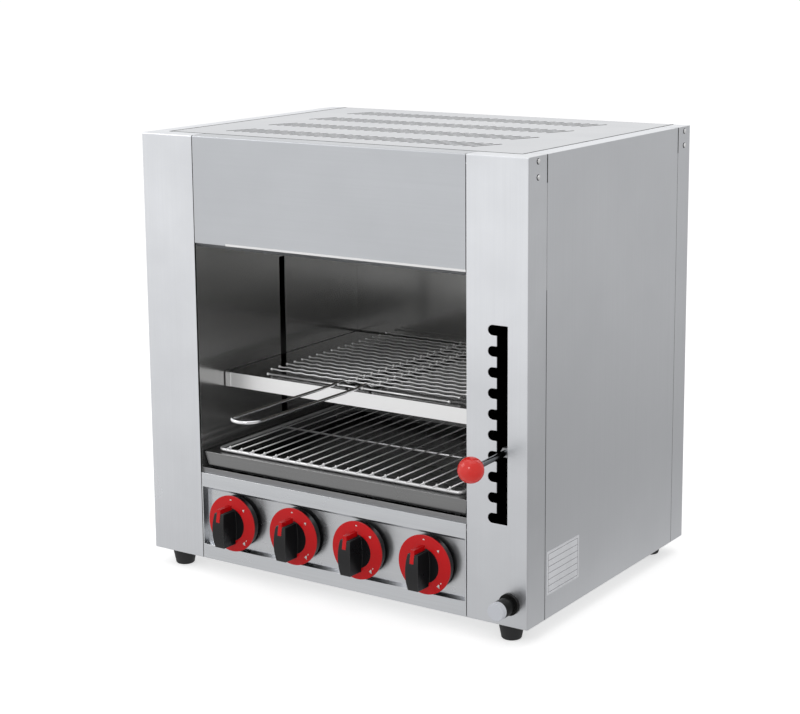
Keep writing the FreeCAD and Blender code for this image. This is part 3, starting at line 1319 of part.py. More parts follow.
def lever_rod():
    """Return the lifting lever: a bent rod and the crank plate that turns on the pivot."""
    back = CRANK_FRONT + CRANK_THICKNESS
    points = [lever_tip(), Vector(LEVER_X, LEVER_BEND_Y, LEVER_Z), Vector(LEVER_X, back, LEVER_Z)]
    crank = hull_plate(LEVER_X, LEVER_Z, LEVER_RADIUS * 2, PIVOT_X, PIVOT_Z, CRANK_EYE_RADIUS,
                       CRANK_FRONT, back)
    eye = rod_y(PIVOT_X, PIVOT_Z, CRANK_FRONT - CUT_OVERRUN, back + CUT_OVERRUN,
                PIVOT_RADIUS + SHAFT_CLEARANCE)
    return joined([bent_rod(points, [0, LEVER_BEND, 0], LEVER_RADIUS), crank.cut(eye)])


def lever_ball():
    """Return the ball of the lever with the bore that the rod goes into."""
    ball = Part.makeSphere(BALL_RADIUS, Vector(LEVER_X, BALL_Y, BALL_Z))
    along = lever_direction().normalize()
    tip = lever_tip()
    bore = rod(tip, tip - along * (BALL_RADIUS * 2), LEVER_RADIUS + SHAFT_CLEARANCE)
    return ball.cut(bore)


def lever_collar():
    """Return the ferrule behind the ball and the collar nut inside the column."""
    along = lever_direction().normalize()
    start = Vector(LEVER_X, BALL_Y, BALL_Z) - along * (BALL_RADIUS + FERRULE_GAP)
    end = start - along * FERRULE_LENGTH
    bore = rod(start + along * CUT_OVERRUN, end - along * CUT_OVERRUN,
               LEVER_RADIUS + SHAFT_CLEARANCE)
    ferrule = rod(start, end, FERRULE_RADIUS).cut(bore)
    nut = hexagon(LEVER_X, LEVER_Z, COLLAR_RADIUS, COLLAR_Y, COLLAR_Y + COLLAR_LENGTH)
    nut_bore = rod_y(LEVER_X, LEVER_Z, COLLAR_Y - CUT_OVERRUN,
                     COLLAR_Y + COLLAR_LENGTH + CUT_OVERRUN, LEVER_RADIUS + SHAFT_CLEARANCE)
    return group([ferrule, nut.cut(nut_bore)])


def spine_z():
    """Return the height of the handle's legs on the rack."""
    return RACK_TOP + RUNNING_GAP + HANDLE_RADIUS


def upper_grid():
    """Return the cross wires of the upper grid, which lie on the handle's legs."""
    z = spine_z() + HANDLE_RADIUS + WIRE_RADIUS
    wires = [rod(Vector(UPPER_FRONT_LEFT, UPPER_FRONT_Y, z),
                 Vector(UPPER_GRID_RIGHT, UPPER_FRONT_Y, z), WIRE_RADIUS)]
    for i in range(UPPER_WIRE_COUNT):
        y = UPPER_SECOND_Y + UPPER_PITCH * i
        wires.append(rod(Vector(UPPER_GRID_LEFT, y, z), Vector(UPPER_GRID_RIGHT, y, z),
                         WIRE_RADIUS))
    return group(wires)


def grid_handle():
    """Return the rod that carries the grid and loops out in front as its handle."""
    low = spine_z()
    over = low + HANDLE_RADIUS * 2 + WIRE_RADIUS * 2
    left = HANDLE_CENTRE - HANDLE_HALF
    right = HANDLE_CENTRE + HANDLE_HALF
    loop_front = HANDLE_LOOP_Y - HANDLE_HALF
    leg = [(HANDLE_SPINE_END, low), (HANDLE_RISE_BACK, low), (HANDLE_RISE_FRONT, over),
           (HANDLE_DIP_FRONT, over - HANDLE_DIP), (loop_front, HANDLE_LOOP_Z)]
    points = [Vector(left, y, z) for y, z in leg]
    points += [Vector(right, y, z) for y, z in reversed(leg)]
    loop = HANDLE_HALF - HANDLE_LOOP_FLAT / 2
    half = [0, HANDLE_BEND, HANDLE_BEND, HANDLE_LONG_BEND, loop]
    return bent_rod(points, half + half[::-1], HANDLE_RADIUS)


def tray_loft(shrink, low, high):
    """Return the flared block of the drip tray, shrunk by a sheet's thickness or not."""
    wires = []
    for z, flare in ((low, TRAY_FLARE), (high, 0)):
        left = TRAY_SIDE + flare + shrink
        right = BODY_WIDTH - left
        front = TRAY_FRONT + flare + shrink
        back = TRAY_BACK - flare - shrink
        corners = [Vector(left, front, z), Vector(right, front, z),
                   Vector(right, back, z), Vector(left, back, z)]
        wires.append(path_wire(corners, [0] * len(corners), True))
    return Part.makeLoft(wires, True, True)


def drip_tray():
    """Return the drip tray with the inward flange that carries the lower grid."""
    outer = tray_loft(0, TRAY_BOTTOM, TRAY_TOP)
    inner = tray_loft(SHEET, TRAY_BOTTOM + SHEET, TRAY_TOP)
    inset = TRAY_SIDE + SHEET
    flange = box(inset, BODY_WIDTH - inset, TRAY_FRONT + SHEET, TRAY_BACK - SHEET,
                 TRAY_TOP - SHEET, TRAY_TOP)
    mouth_left = TRAY_SIDE + TRAY_FLANGE
    mouth = box(mouth_left, BODY_WIDTH - mouth_left, TRAY_FRONT + TRAY_FLANGE,
                TRAY_BACK - TRAY_FLANGE, TRAY_TOP - CUT_OVERRUN, TRAY_TOP + CUT_OVERRUN)
    return joined([outer.cut(inner), flange.cut(mouth)])


def lower_grid():
    """Return the lower grid: a rim with bars welded across it."""
    rim_z = TRAY_TOP + RUNNING_GAP + RIM_RADIUS
    rim_right = BODY_WIDTH - RIM_LEFT
    corners = [Vector(RIM_LEFT, RIM_FRONT, rim_z), Vector(rim_right, RIM_FRONT, rim_z),
               Vector(rim_right, RIM_BACK, rim_z), Vector(RIM_LEFT, RIM_BACK, rim_z)]
    pieces = [bent_rod(corners, [RIM_CORNER] * len(corners), RIM_RADIUS, True)]
    bar_z = rim_z + RIM_RADIUS + BAR_RADIUS - WELD_BITE
    for i in range(BAR_COUNT):
        x = BAR_FIRST + BAR_PITCH * i
        pieces.append(rod_y(x, bar_z, RIM_FRONT - BAR_OVERHANG, RIM_BACK + BAR_OVERHANG,
                            BAR_RADIUS))
    cross_z = bar_z - BAR_RADIUS - CROSS_RADIUS + WELD_BITE
    for share in CROSS_SHARES:
        y = RIM_FRONT + (RIM_BACK - RIM_FRONT) * share
        pieces.append(rod(Vector(RIM_LEFT, y, cross_z), Vector(rim_right, y, cross_z),
                          CROSS_RADIUS))
    return joined(pieces)


def rivets():
    """Return the domed rivets at the tops of the four columns."""
    solids = []
    for y, z in rivet_places():
        sphere_radius = (RIVET_RADIUS ** 2 + RIVET_HEAD ** 2) / (RIVET_HEAD * 2)
        centre = Vector(BODY_WIDTH + RIVET_HEAD - sphere_radius, y, z)
        dome = Part.makeSphere(sphere_radius, centre)
        keep = box(BODY_WIDTH, BODY_WIDTH + sphere_radius, y - sphere_radius, y + sphere_radius,
                   z - sphere_radius, z + sphere_radius)
        shank = rod(Vector(BODY_WIDTH - SHEET * 2, y, z), Vector(BODY_WIDTH, y, z), RIVET_SHANK)
        solids.append(joined([dome.common(keep), shank]))
    return group(solids + [mirrored(solid) for solid in solids])


def screws():
    """Return the slotted screws round the back panel."""
    solids = []
    for x, z in back_screw_places():
        head = rod_y(x, z, BODY_DEPTH, BODY_DEPTH + SCREW_HEAD, SCREW_RADIUS)
        slot = box(x - SCREW_RADIUS, x + SCREW_RADIUS, BODY_DEPTH + SCREW_HEAD - SCREW_SLOT_DEPTH,
                   BODY_DEPTH + SCREW_HEAD + CUT_OVERRUN, z - SCREW_SLOT / 2, z + SCREW_SLOT / 2)
        shank = rod_y(x, z, BACK_INNER - SHEET, BODY_DEPTH, SCREW_SHANK)
        solids.append(joined([head.cut(slot), shank]))
    return group(solids)


def save(name, shape):
    """Move a piece into the machine's own frame and write its STEP file."""
    moved = shape.copy()
    moved.translate(Vector(-MIDDLE_X, -MIDDLE_Y, FOOT_HEIGHT))
    moved.exportStep("parts/" + name + ".step")
    box_now = moved.BoundBox
    print(f"{name:20s} solids {len(moved.Solids):3d} valid {moved.isValid()} "
          f"x {box_now.XMin:.1f}..{box_now.XMax:.1f} y {box_now.YMin:.1f}..{box_now.YMax:.1f} "
          f"z {box_now.ZMin:.1f}..{box_now.ZMax:.1f}")


def pieces():
    """Return every piece of the machine by name."""
    made = {
        "left_front_column": mirrored(front_column()),
        "right_front_column": right_front_column(),
        "left_rear_column": mirrored(rear_column()),
        "right_rear_column": rear_column(),
        "left_side_panel": mirrored(side_panel()),
        "right_side_panel": side_panel(),
        "top_cover": top_cover(),
        "fascia": fascia(),
        "back_panel": back_panel(),
        "base_pan": base_pan(),
        "feet": feet(),
        "cavity_left_wall": mirrored(cavity_side_wall()),
        "cavity_right_wall": right_cavity_wall(),
        "cavity_back_wall": cavity_back_wall(),
        "cavity_floor": cavity_floor(),
        "control_frame": control_frame(),
        "control_panel": control_panel(),
        "tray_runners": tray_runners(),
        "burner_frame": burner_frame(),
        "burner_housings": burner_housings(),
        "burner_plaques": burner_plaques(),
        "mixing_tubes": mixing_tubes(),
        "injectors": injectors(),
        "heat_shield": heat_shield(),
        "gas_manifold": gas_manifold(),
        "gas_valves": gas_valves(),
        "gas_tubes": gas_tubes(),
        "gas_inlet": gas_inlet(),
        "igniter_body": igniter_body(),
        "igniter_bezel": igniter_bezel(),
        "igniter_button": igniter_button(),
        "spark_electrode": spark_electrode(),
        "ignition_lead": ignition_lead(),
        "guide_rods": guide_rods(),
        "guide_brackets": guide_brackets(),
        "carriage_left": mirrored(carriage()),
        "carriage_right": carriage_right(),
        "carriage_bushes": carriage_bushes(),
        "rack_tray": rack_tray(),
        "lever_rod": lever_rod(),
        "lever_ball": lever_ball(),
        "lever_collar": lever_collar(),
        "upper_grid": upper_grid(),
        "grid_handle": grid_handle(),
        "drip_tray": drip_tray(),
        "lower_grid": lower_grid(),
        "rivets": rivets(),
        "screws": screws(),
    }
    for number, x in enumerate(knob_centres(), 1):
        made[f"knob_{number}"] = knob(x)
        made[f"knob_ring_{number}"] = knob_ring(x)
        made[f"valve_stem_{number}"] = valve_stem(x)
    return made


os.makedirs("parts", exist_ok=True)
for piece_name, piece_shape in pieces().items():
    save(piece_name, piece_shape)
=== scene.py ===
"""Four-burner countertop gas cheese melter, dressed round its construction model.

Metres, in the construction's own frame: the origin is on the surface that the feet stand on, +X is
the right side as seen from the front, +Y the back and +Z up. Each sub-assembly is a class that
holds its sizes in millimetres, builds the meshes that the construction leaves plain and gives each
piece its finish.
"""
import logging
import math
from dataclasses import dataclass
from enum import Enum
from functools import cache
from typing import Optional, Protocol, Sequence, Union

import bmesh
import bpy
from mathutils import Matrix, Vector


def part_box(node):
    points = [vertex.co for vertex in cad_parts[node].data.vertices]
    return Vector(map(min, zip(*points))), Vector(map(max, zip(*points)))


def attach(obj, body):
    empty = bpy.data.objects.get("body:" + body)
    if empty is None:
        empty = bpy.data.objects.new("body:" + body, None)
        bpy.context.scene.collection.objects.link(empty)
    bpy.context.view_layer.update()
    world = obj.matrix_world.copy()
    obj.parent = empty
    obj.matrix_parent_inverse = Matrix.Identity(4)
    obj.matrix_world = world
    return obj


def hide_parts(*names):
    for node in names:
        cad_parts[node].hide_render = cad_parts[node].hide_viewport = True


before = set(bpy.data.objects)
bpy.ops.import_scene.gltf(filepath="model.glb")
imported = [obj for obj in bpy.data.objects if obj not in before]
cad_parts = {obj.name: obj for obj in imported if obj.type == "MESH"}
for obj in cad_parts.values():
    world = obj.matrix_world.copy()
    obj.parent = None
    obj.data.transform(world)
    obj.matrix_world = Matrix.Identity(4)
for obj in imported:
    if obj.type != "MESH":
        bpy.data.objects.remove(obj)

LOG = logging.getLogger("cheese_melter")
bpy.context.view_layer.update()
MM = 0.001
FULL_TURN = 2 * math.pi
QUARTER_TURN = math.pi / 2
TOP_FACE = 0.5
WHITE = (1.0, 1.0, 1.0, 1.0)
UP = Vector((0, 0, 1))
CASING_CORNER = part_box("left_front_column")[0]
CASING_FAR_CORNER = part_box("right_rear_column")[1]
CASING_MIDDLE = (CASING_CORNER + CASING_FAR_CORNER) / 2

Colour = tuple[float, float, float]
Socket = bpy.types.NodeSocket
Feed = Union[Socket, float, Sequence[float]]
Point = tuple[float, float, float]
Mark = tuple[float, float, float]
Mesh = bmesh.types.BMesh


def place(x: float, y: float, z: float) -> Vector:
    """Return a point given in millimetres from the casing's lower front left corner."""
    return CASING_CORNER + Vector((x, y, z)) * MM


def scaled(colour: Colour, share: float) -> Colour:
    """Return a colour times a share, kept at white or below."""
    return tuple(min(1.0, c * share) for c in colour)


def lightened(colour: Colour, share: float) -> Colour:
    """Return a colour moved towards white by a share."""
    return tuple(c + (1 - c) * share for c in colour)


class Graph:
    """A shader node tree with short calls that add nodes and join them."""

    def __init__(self, tree: bpy.types.NodeTree) -> None:
        """Keep the tree and empty it."""
        self.tree = tree
        self.tree.nodes.clear()

    def node(self, kind: str, *values: Feed, **settings: object) -> bpy.types.Node:
        """Add one node.

        Args:
            kind: The node's type name.
            *values: Its first inputs in order.
            **settings: Properties to set on it.

        Returns:
            The new node.
        """
        made = self.tree.nodes.new(kind)
        for name, value in settings.items():
            setattr(made, name, value)
        for socket, value in zip(made.inputs, values):
            self.feed(socket, value)
        return made

    def feed(self, socket: Socket, value: Feed) -> None:
        """Give an input its value.

        Args:
            socket: The input.
            value: An output to link to it, or a constant.
        """
        if isinstance(value, bpy.types.NodeSocket):
            self.tree.links.new(value, socket)
        else:
            socket.default_value = value

    def maths(self, operation: str, *values: Feed) -> Socket:
        """Add a Math node with its inputs in order and return its output."""
        return self.node("ShaderNodeMath", *values, operation=operation).outputs[0]

    def vector(self, operation: str, *values: Feed) -> bpy.types.NodeOutputs:
        """Add a Vector Math node with its inputs in order and return its outputs."""
        return self.node("ShaderNodeVectorMath", *values, operation=operation).outputs

    def mix(self, factor: Feed, low: Feed, high: Feed, colour: bool = True) -> Socket:
        """Add a Mix node.

        Args:
            factor: How much of the second input shows.
            low: The first input.
            high: The second input.
            colour: Whether the inputs are colours rather than values.

        Returns:
            Its output.
        """
        made = self.node("ShaderNodeMix", factor, data_type="RGBA" if colour else "FLOAT")
        first, second, out = (6, 7, 2) if colour else (2, 3, 0)
        for at, value in ((first, low), (second, high)):
            self.feed(made.inputs[at], (*value, 1.0) if isinstance(value, tuple) else value)
        return made.outputs[out]

    def span(self, value: Feed, low: float, high: float, to_low: Feed, to_high: Feed,
             smooth: bool = False) -> Socket:
        """Add a Map Range node.

        Args:
            value: The value to map.
            low: Where the range starts.
            high: Where it ends.
            to_low: The result at the start.
            to_high: The result at the end.
            smooth: Whether the change eases in and out.

        Returns:
            Its output.
        """
        kind = "SMOOTHSTEP" if smooth else "LINEAR"
        return self.node("ShaderNodeMapRange", value, low, high, to_low, to_high,
                         interpolation_type=kind).outputs[0]

    def noise(self, vector: Feed, scale: Feed, detail: float) -> Socket:
        """Add a Noise Texture node.

        Args:
            vector: Its coordinates.
            scale: Its scale.
            detail: Its octaves.

        Returns:
            Its value output.
        """
        made = self.node("ShaderNodeTexNoise")
        for name, value in (("Vector", vector), ("Scale", scale), ("Detail", detail)):
            self.feed(made.inputs[name], value)
        return made.outputs[0]

    def group(self, tree: bpy.types.NodeTree, **values: Feed) -> bpy.types.NodeOutputs:
        """Place a node group.

        Args:
            tree: The group.
            **values: Its inputs by name.

        Returns:
            Its outputs.
        """
        made = self.node("ShaderNodeGroup", node_tree=tree)
        for name, value in values.items():
            self.feed(made.inputs[name.capitalize()], value)
        return made.outputs

    def part(self, vector: Feed, axis: str) -> Socket:
        """Return one part of a vector: X, Y or Z."""
        return self.node("ShaderNodeSeparateXYZ", vector).outputs[axis]

    def coordinates(self, kind: str = "Object") -> Socket:
        """Return coordinates of the construction's frame, or its normals or directions."""
        return self.node("ShaderNodeTexCoord").outputs[kind]

    def upward(self) -> Socket:
        """Return how far a face looks up in the construction's frame."""
        return self.part(self.coordinates("Normal"), "Z")


class GroupGraph(Graph):
    """A shader node group with named inputs and outputs."""

    def __init__(self, name: str, inputs: dict[str, str], outputs: dict[str, str]) -> None:
        """Make the group and its sockets.

        Args:
            name: The group's name.
            inputs: Its inputs and their types.
            outputs: Its outputs and their types.
        """
        super().__init__(bpy.data.node_groups.new(name, "ShaderNodeTree"))
        for way, sockets in (("INPUT", inputs), ("OUTPUT", outputs)):
            for label, kind in sockets.items():
                self.tree.interface.new_socket(name=label, in_out=way,
                                               socket_type=f"NodeSocket{kind}")
        self.given = self.node("NodeGroupInput").outputs
        self.result = self.node("NodeGroupOutput").inputs


class Surface(Graph):
    """A material's node tree, whose Principled shader is already on its output."""

    def __init__(self, name: str) -> None:
        """Make the material.

        Args:
            name: The material's name.
        """
        self.material = bpy.data.materials.new(name)
        self.material.use_nodes = True
        super().__init__(self.material.node_tree)
        self.shader = self.node("ShaderNodeBsdfPrincipled")
        self.node("ShaderNodeOutputMaterial", self.shader.outputs[0])

    def clouds(self, scale: float) -> Socket:
        """Place the soft clouds at a scale and return their value."""
        return self.group(Effects.clouds(), scale=scale)["Value"]

    def bump(self, height: Feed, distance: float, normal: Optional[Socket] = None,
             invert: bool = False) -> Socket:
        """Add a Bump node.

        Args:
            height: Its height input.
            distance: How far the height reaches.
            normal: The normal under it, if it isn't the mesh's own.
            invert: Whether the height goes down.

        Returns:
            Its normal output.
        """
        made = self.node("ShaderNodeBump", invert=invert)
        self.feed(made.inputs["Distance"], distance)
        self.feed(made.inputs["Height"], height)
        if normal is not None:
            self.feed(made.inputs["Normal"], normal)
        return made.outputs[0]

    def finish(self, values: dict[str, Feed]) -> bpy.types.Material:
        """Give the shader its inputs.

        Args:
            values: The inputs by name. A constant is set on the shader's own socket.

        Returns:
            The finished material.
        """
        for name, value in values.items():
            self.feed(self.shader.inputs[name], value)
        return self.material


class Effects:
    """Node groups that several finishes share. Each is built the first time it is asked for."""

    FINE_DETAIL = 3.0
    STREAK_SCALE = 0.16
    STREAK_SHARE = 0.45
    GRAIN_RANGE = (0.3, 0.7)
    SOFT_DETAIL = 2.0
    SMALL_SCALE = 5.3
    SMALL_DETAIL = 4.0
    SMALL_SHARE = 0.3
    CLOUD_RANGE = (0.35, 0.65)
    EDGE_SAMPLES = 4
    EDGE_RANGE = (0.995, 0.90)

    @staticmethod
    @cache
    def grain() -> bpy.types.NodeTree:
        """Make the group for brushed sheet: fine scratches in one direction and wider streaks.

        Returns:
            The group's tree.
        """
        graph = GroupGraph("Brushed grain", {"Stretch": "Vector"},
                           {"Shade": "Float", "Height": "Float"})
        at = graph.vector("MULTIPLY", graph.coordinates(), graph.given["Stretch"])[0]
        fine = graph.noise(at, 1.0, Effects.FINE_DETAIL)
        wide = graph.noise(at, Effects.STREAK_SCALE, Effects.SOFT_DETAIL)
        both = graph.mix(Effects.STREAK_SHARE, fine, wide, colour=False)
        graph.feed(graph.result["Shade"], graph.span(both, *Effects.GRAIN_RANGE, 0.0, 1.0))
        graph.feed(graph.result["Height"], fine)
        return graph.tree

    @staticmethod
    @cache
    def clouds() -> bpy.types.NodeTree:
        """Make the group of soft noise in two sizes, the smaller one weaker: handling marks, and
        the steel's painted cloudy reflection.

        Returns:
            The group's tree.
        """
        graph = GroupGraph("Soft clouds", {"Scale": "Float"}, {"Value": "Float"})
        at = graph.coordinates()
        wide = graph.noise(at, graph.given["Scale"], Effects.SOFT_DETAIL)
        scale = graph.maths("MULTIPLY", graph.given["Scale"], Effects.SMALL_SCALE)
        small = graph.noise(at, scale, Effects.SMALL_DETAIL)
        both = graph.mix(Effects.SMALL_SHARE, wide, small, colour=False)
        graph.feed(graph.result["Value"], graph.span(both, *Effects.CLOUD_RANGE, 0.0, 1.0))
        return graph.tree

    @staticmethod
    @cache
    def edge() -> bpy.types.NodeTree:
        """Make the group for edges: a mask along them, which the finishes use for a painted
        highlight, and a normal that rounds them.

        Returns:
            The group's tree.
        """
        graph = GroupGraph("Edge highlight", {"Width": "Float"}, {"Mask": "Float", "Normal": "Vector"})
        bevel = graph.node("ShaderNodeBevel", graph.given["Width"], samples=Effects.EDGE_SAMPLES)
        flat = graph.node("ShaderNodeNewGeometry").outputs["True Normal"]
        same = graph.vector("DOT_PRODUCT", bevel.outputs[0], flat)["Value"]
        graph.feed(graph.result["Mask"], graph.span(same, *Effects.EDGE_RANGE, 0.0, 1.0))
        graph.feed(graph.result["Normal"], bevel.outputs[0])
        return graph.tree

    @staticmethod
    @cache
    def facing() -> bpy.types.NodeTree:
        """Make the group that tells a sheet's outer face from its inner one.

        It compares the face's direction with the way out from the middle of the machine.

        Returns:
            The group's tree.
        """
        graph = GroupGraph("Outer face", {"Middle": "Vector"}, {"Outer": "Float"})
        way = graph.vector("SUBTRACT", graph.coordinates(), graph.given["Middle"])[0]
        outward = graph.vector("DOT_PRODUCT", way, graph.coordinates("Normal"))["Value"]
        graph.feed(graph.result["Outer"], graph.maths("GREATER_THAN", outward, 0.0))
        return graph.tree


class Grain(Enum):
    """Direction of a sheet's brushing, as the stretch of its noise in each direction."""

    UPRIGHT = (1500.0, 1500.0, 9.0)
    ACROSS = (9.0, 1500.0, 1500.0)
    ROUND = (700.0, 700.0, 700.0)


class Lit(Enum):
    """Which face of a sheet keeps its colour. The other one is painted dark as painted shade."""

    BOTH = "both"
    OUTER = "outer"
    INNER = "inner"
    TOP = "top"


@dataclass(frozen=True)
class Steel:
    """Bare sheet or rod metal with brushing, handling marks and a painted highlight along its
    edges.
    """

    name: str
    colour: Colour
    roughness: float
    grain: Grain = Grain.UPRIGHT
    streaks: float = 0.05
    scratch_depth: float = 0.000004
    marks: float = 0.05
    edge_width: float = 0.0007
    edge_highlight_gain: float = 0.35
    lit: Lit = Lit.BOTH
    # Colour of the painted shade on the face that is not finished.
    painted_shade_colour: Colour = (0.05, 0.05, 0.05)
    metallic: float = 1.0
    # Share of painted cloudy reflection: soft clouds darken the colour in patches.
    painted_reflection_clouding: float = 0.0
    cloud_scale: float = 3.1
    painted_reflection_share: float = 0.8

    def painted_shade_mask(self, graph: Graph) -> Socket:
        """Find the faces that are painted dark as painted shade.

        Args:
            graph: The material's node tree.

        Returns:
            A mask that is one where the sheet is painted dark as painted shade.
        """
        if self.lit is Lit.TOP:
            return graph.maths("LESS_THAN", graph.upward(), TOP_FACE)
        outer = graph.group(Effects.facing(), middle=tuple(CASING_MIDDLE))["Outer"]
        return graph.maths("SUBTRACT", 1.0, outer) if self.lit is Lit.OUTER else outer

    def material(self) -> bpy.types.Material:
        """Build the material.

        Returns:
            The new material.
        """
        graph = Surface(self.name)
        grain = graph.group(Effects.grain(), stretch=self.grain.value)
        clouds = graph.clouds(self.cloud_scale)
        edge = graph.group(Effects.edge(), width=self.edge_width)
        colour = graph.mix(grain["Shade"], scaled(self.colour, 1 - self.streaks),
                           scaled(self.colour, 1 + self.streaks))
        # Painted highlight: the colour is lightened along the edges.
        colour = graph.mix(edge["Mask"], colour, lightened(self.colour, self.edge_highlight_gain))
        # Painted cloudy reflection: soft clouds darken the colour in patches.
        if self.painted_reflection_clouding:
            colour = graph.mix(graph.maths("MULTIPLY", clouds, self.painted_reflection_share), colour,
                               scaled(self.colour, 1 - self.painted_reflection_clouding))
        # Painted shade: the sheet's other face is painted dark.
        if self.lit is not Lit.BOTH:
            colour = graph.mix(self.painted_shade_mask(graph), colour, self.painted_shade_colour)
        roughness = graph.span(clouds, 0.0, 1.0, self.roughness - self.marks,
                               self.roughness + self.marks)
        graph.material.diffuse_color = (*self.colour, 1.0)
        return graph.finish({
            "Base Color": colour, "Roughness": roughness, "Metallic": self.metallic,
            "Normal": graph.bump(grain["Height"], self.scratch_depth, edge["Normal"])})


@dataclass(frozen=True)
class Shelf:
    """Sheet with a bright, cloudy front and a dark mirror-like top whose dark colour is a painted
    reflection.
    """

    name: str
    front_colour: Colour
    painted_reflection_top_colour: Colour
    front_roughness: float = 0.36
    top_roughness: float = 0.14
    front_metal: float = 0.85
    cloud_scale: float = 6.0
    shade: float = 0.06

    def material(self) -> bpy.types.Material:
        """Build the material.

        Returns:
            The new material.
        """
        graph = Surface(self.name)
        top = graph.maths("GREATER_THAN", graph.upward(), TOP_FACE)
        front = graph.mix(graph.clouds(self.cloud_scale), scaled(self.front_colour, 1 - self.shade),
                          self.front_colour)
        # Lit and shaded copies of one sheet: the front is near white, and the top is painted dark
        # as a painted reflection.
        return graph.finish({
            "Base Color": graph.mix(top, front, self.painted_reflection_top_colour),
            "Roughness": graph.mix(top, self.front_roughness, self.top_roughness, colour=False),
            "Metallic": graph.mix(top, self.front_metal, 1.0, colour=False)})


@dataclass(frozen=True)
class Moulding:
    """Plastic, rubber or paint: a soft grain, a little dust and a painted highlight along the
    edges.
    """

    name: str
    colour: Colour
    roughness: float
    grain_scale: float = 900.0
    grain_depth: float = 0.00002
    shade: float = 0.06
    marks: float = 0.05
    edge_highlight_gain: float = 0.06
    edge_width: float = 0.0006
    specular: float = 0.5
    cloud_scale: float = 14.0

    def material(self) -> bpy.types.Material:
        """Build the material.

        Returns:
            The new material.
        """
        graph = Surface(self.name)
        clouds = graph.clouds(self.cloud_scale)
        edge = graph.group(Effects.edge(), width=self.edge_width)
        grain = graph.noise(graph.coordinates(), self.grain_scale, Effects.FINE_DETAIL)
        colour = graph.mix(clouds, scaled(self.colour, 1 - self.shade),
                           scaled(self.colour, 1 + self.shade))
        roughness = graph.span(clouds, 0.0, 1.0, self.roughness - self.marks,
                               self.roughness + self.marks)
        graph.material.diffuse_color = (*self.colour, 1.0)
        # Painted highlight: the colour is lightened along the edges.
        return graph.finish({
            "Base Color": graph.mix(edge["Mask"], colour, lightened(self.colour, self.edge_highlight_gain)),
            "Roughness": roughness, "Specular IOR Level": self.specular,
            "Normal": graph.bump(grain, self.grain_depth, edge["Normal"])})


@dataclass(frozen=True)
class Plaque:
    """Fired ceramic with rows of flame ports, painted dark inside as painted shade."""

    name: str
    colour: Colour
    port_shade_colour: Colour
    port_pitch: float = 0.0028
    port_depth: float = 0.0004
    port_share: float = 0.36
    port_edge: float = 0.1
    shade: float = 0.14
    roughness: float = 0.85
    cloud_scale: float = 22.0

    def material(self) -> bpy.types.Material:
        """Build the material.

        Returns:
            The new material.
        """
        graph = Surface(self.name)
        cells = graph.node("ShaderNodeTexVoronoi", voronoi_dimensions="2D")
        graph.feed(cells.inputs["Randomness"], 0.0)
        graph.feed(cells.inputs["Scale"], 1 / self.port_pitch)
        graph.feed(cells.inputs["Vector"], graph.coordinates())
        port = graph.span(cells.outputs["Distance"], self.port_share,
                          self.port_share - self.port_edge, 0.0, 1.0)
        clay = graph.mix(graph.clouds(self.cloud_scale), scaled(self.colour, 1 - self.shade),
                         self.colour)
        # Painted shade: the ports are painted dark.
        return graph.finish({
            "Base Color": graph.mix(port, clay, self.port_shade_colour), "Roughness": self.roughness,
            "Normal": graph.bump(port, self.port_depth, invert=True)})


@dataclass(frozen=True)
class Cap:
    """A push cap moulded in two colours: its front and what lies behind it."""

    name: str
    front_colour: Colour
    rear_colour: Colour
    front_length: float
    roughness: float = 0.42
    specular: float = 0.15
    edge_width: float = 0.0008
    edge_highlight_gain: float = 0.45

    def material(self) -> bpy.types.Material:
        """Build the material.

        Returns:
            The new material.
        """
        graph = Surface(self.name)
        edge = graph.group(Effects.edge(), width=self.edge_width)
        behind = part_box("igniter_button")[0].y + self.front_length * MM
        rear = graph.maths("GREATER_THAN", graph.part(graph.coordinates(), "Y"), behind)
        # Painted highlight: the front's colour is lightened along the edges.
        front = graph.mix(edge["Mask"], self.front_colour,
                          lightened(self.front_colour, self.edge_highlight_gain))
        return graph.finish({
            "Base Color": graph.mix(rear, front, self.rear_colour), "Normal": edge["Normal"],
            "Roughness": self.roughness, "Specular IOR Level": self.specular})


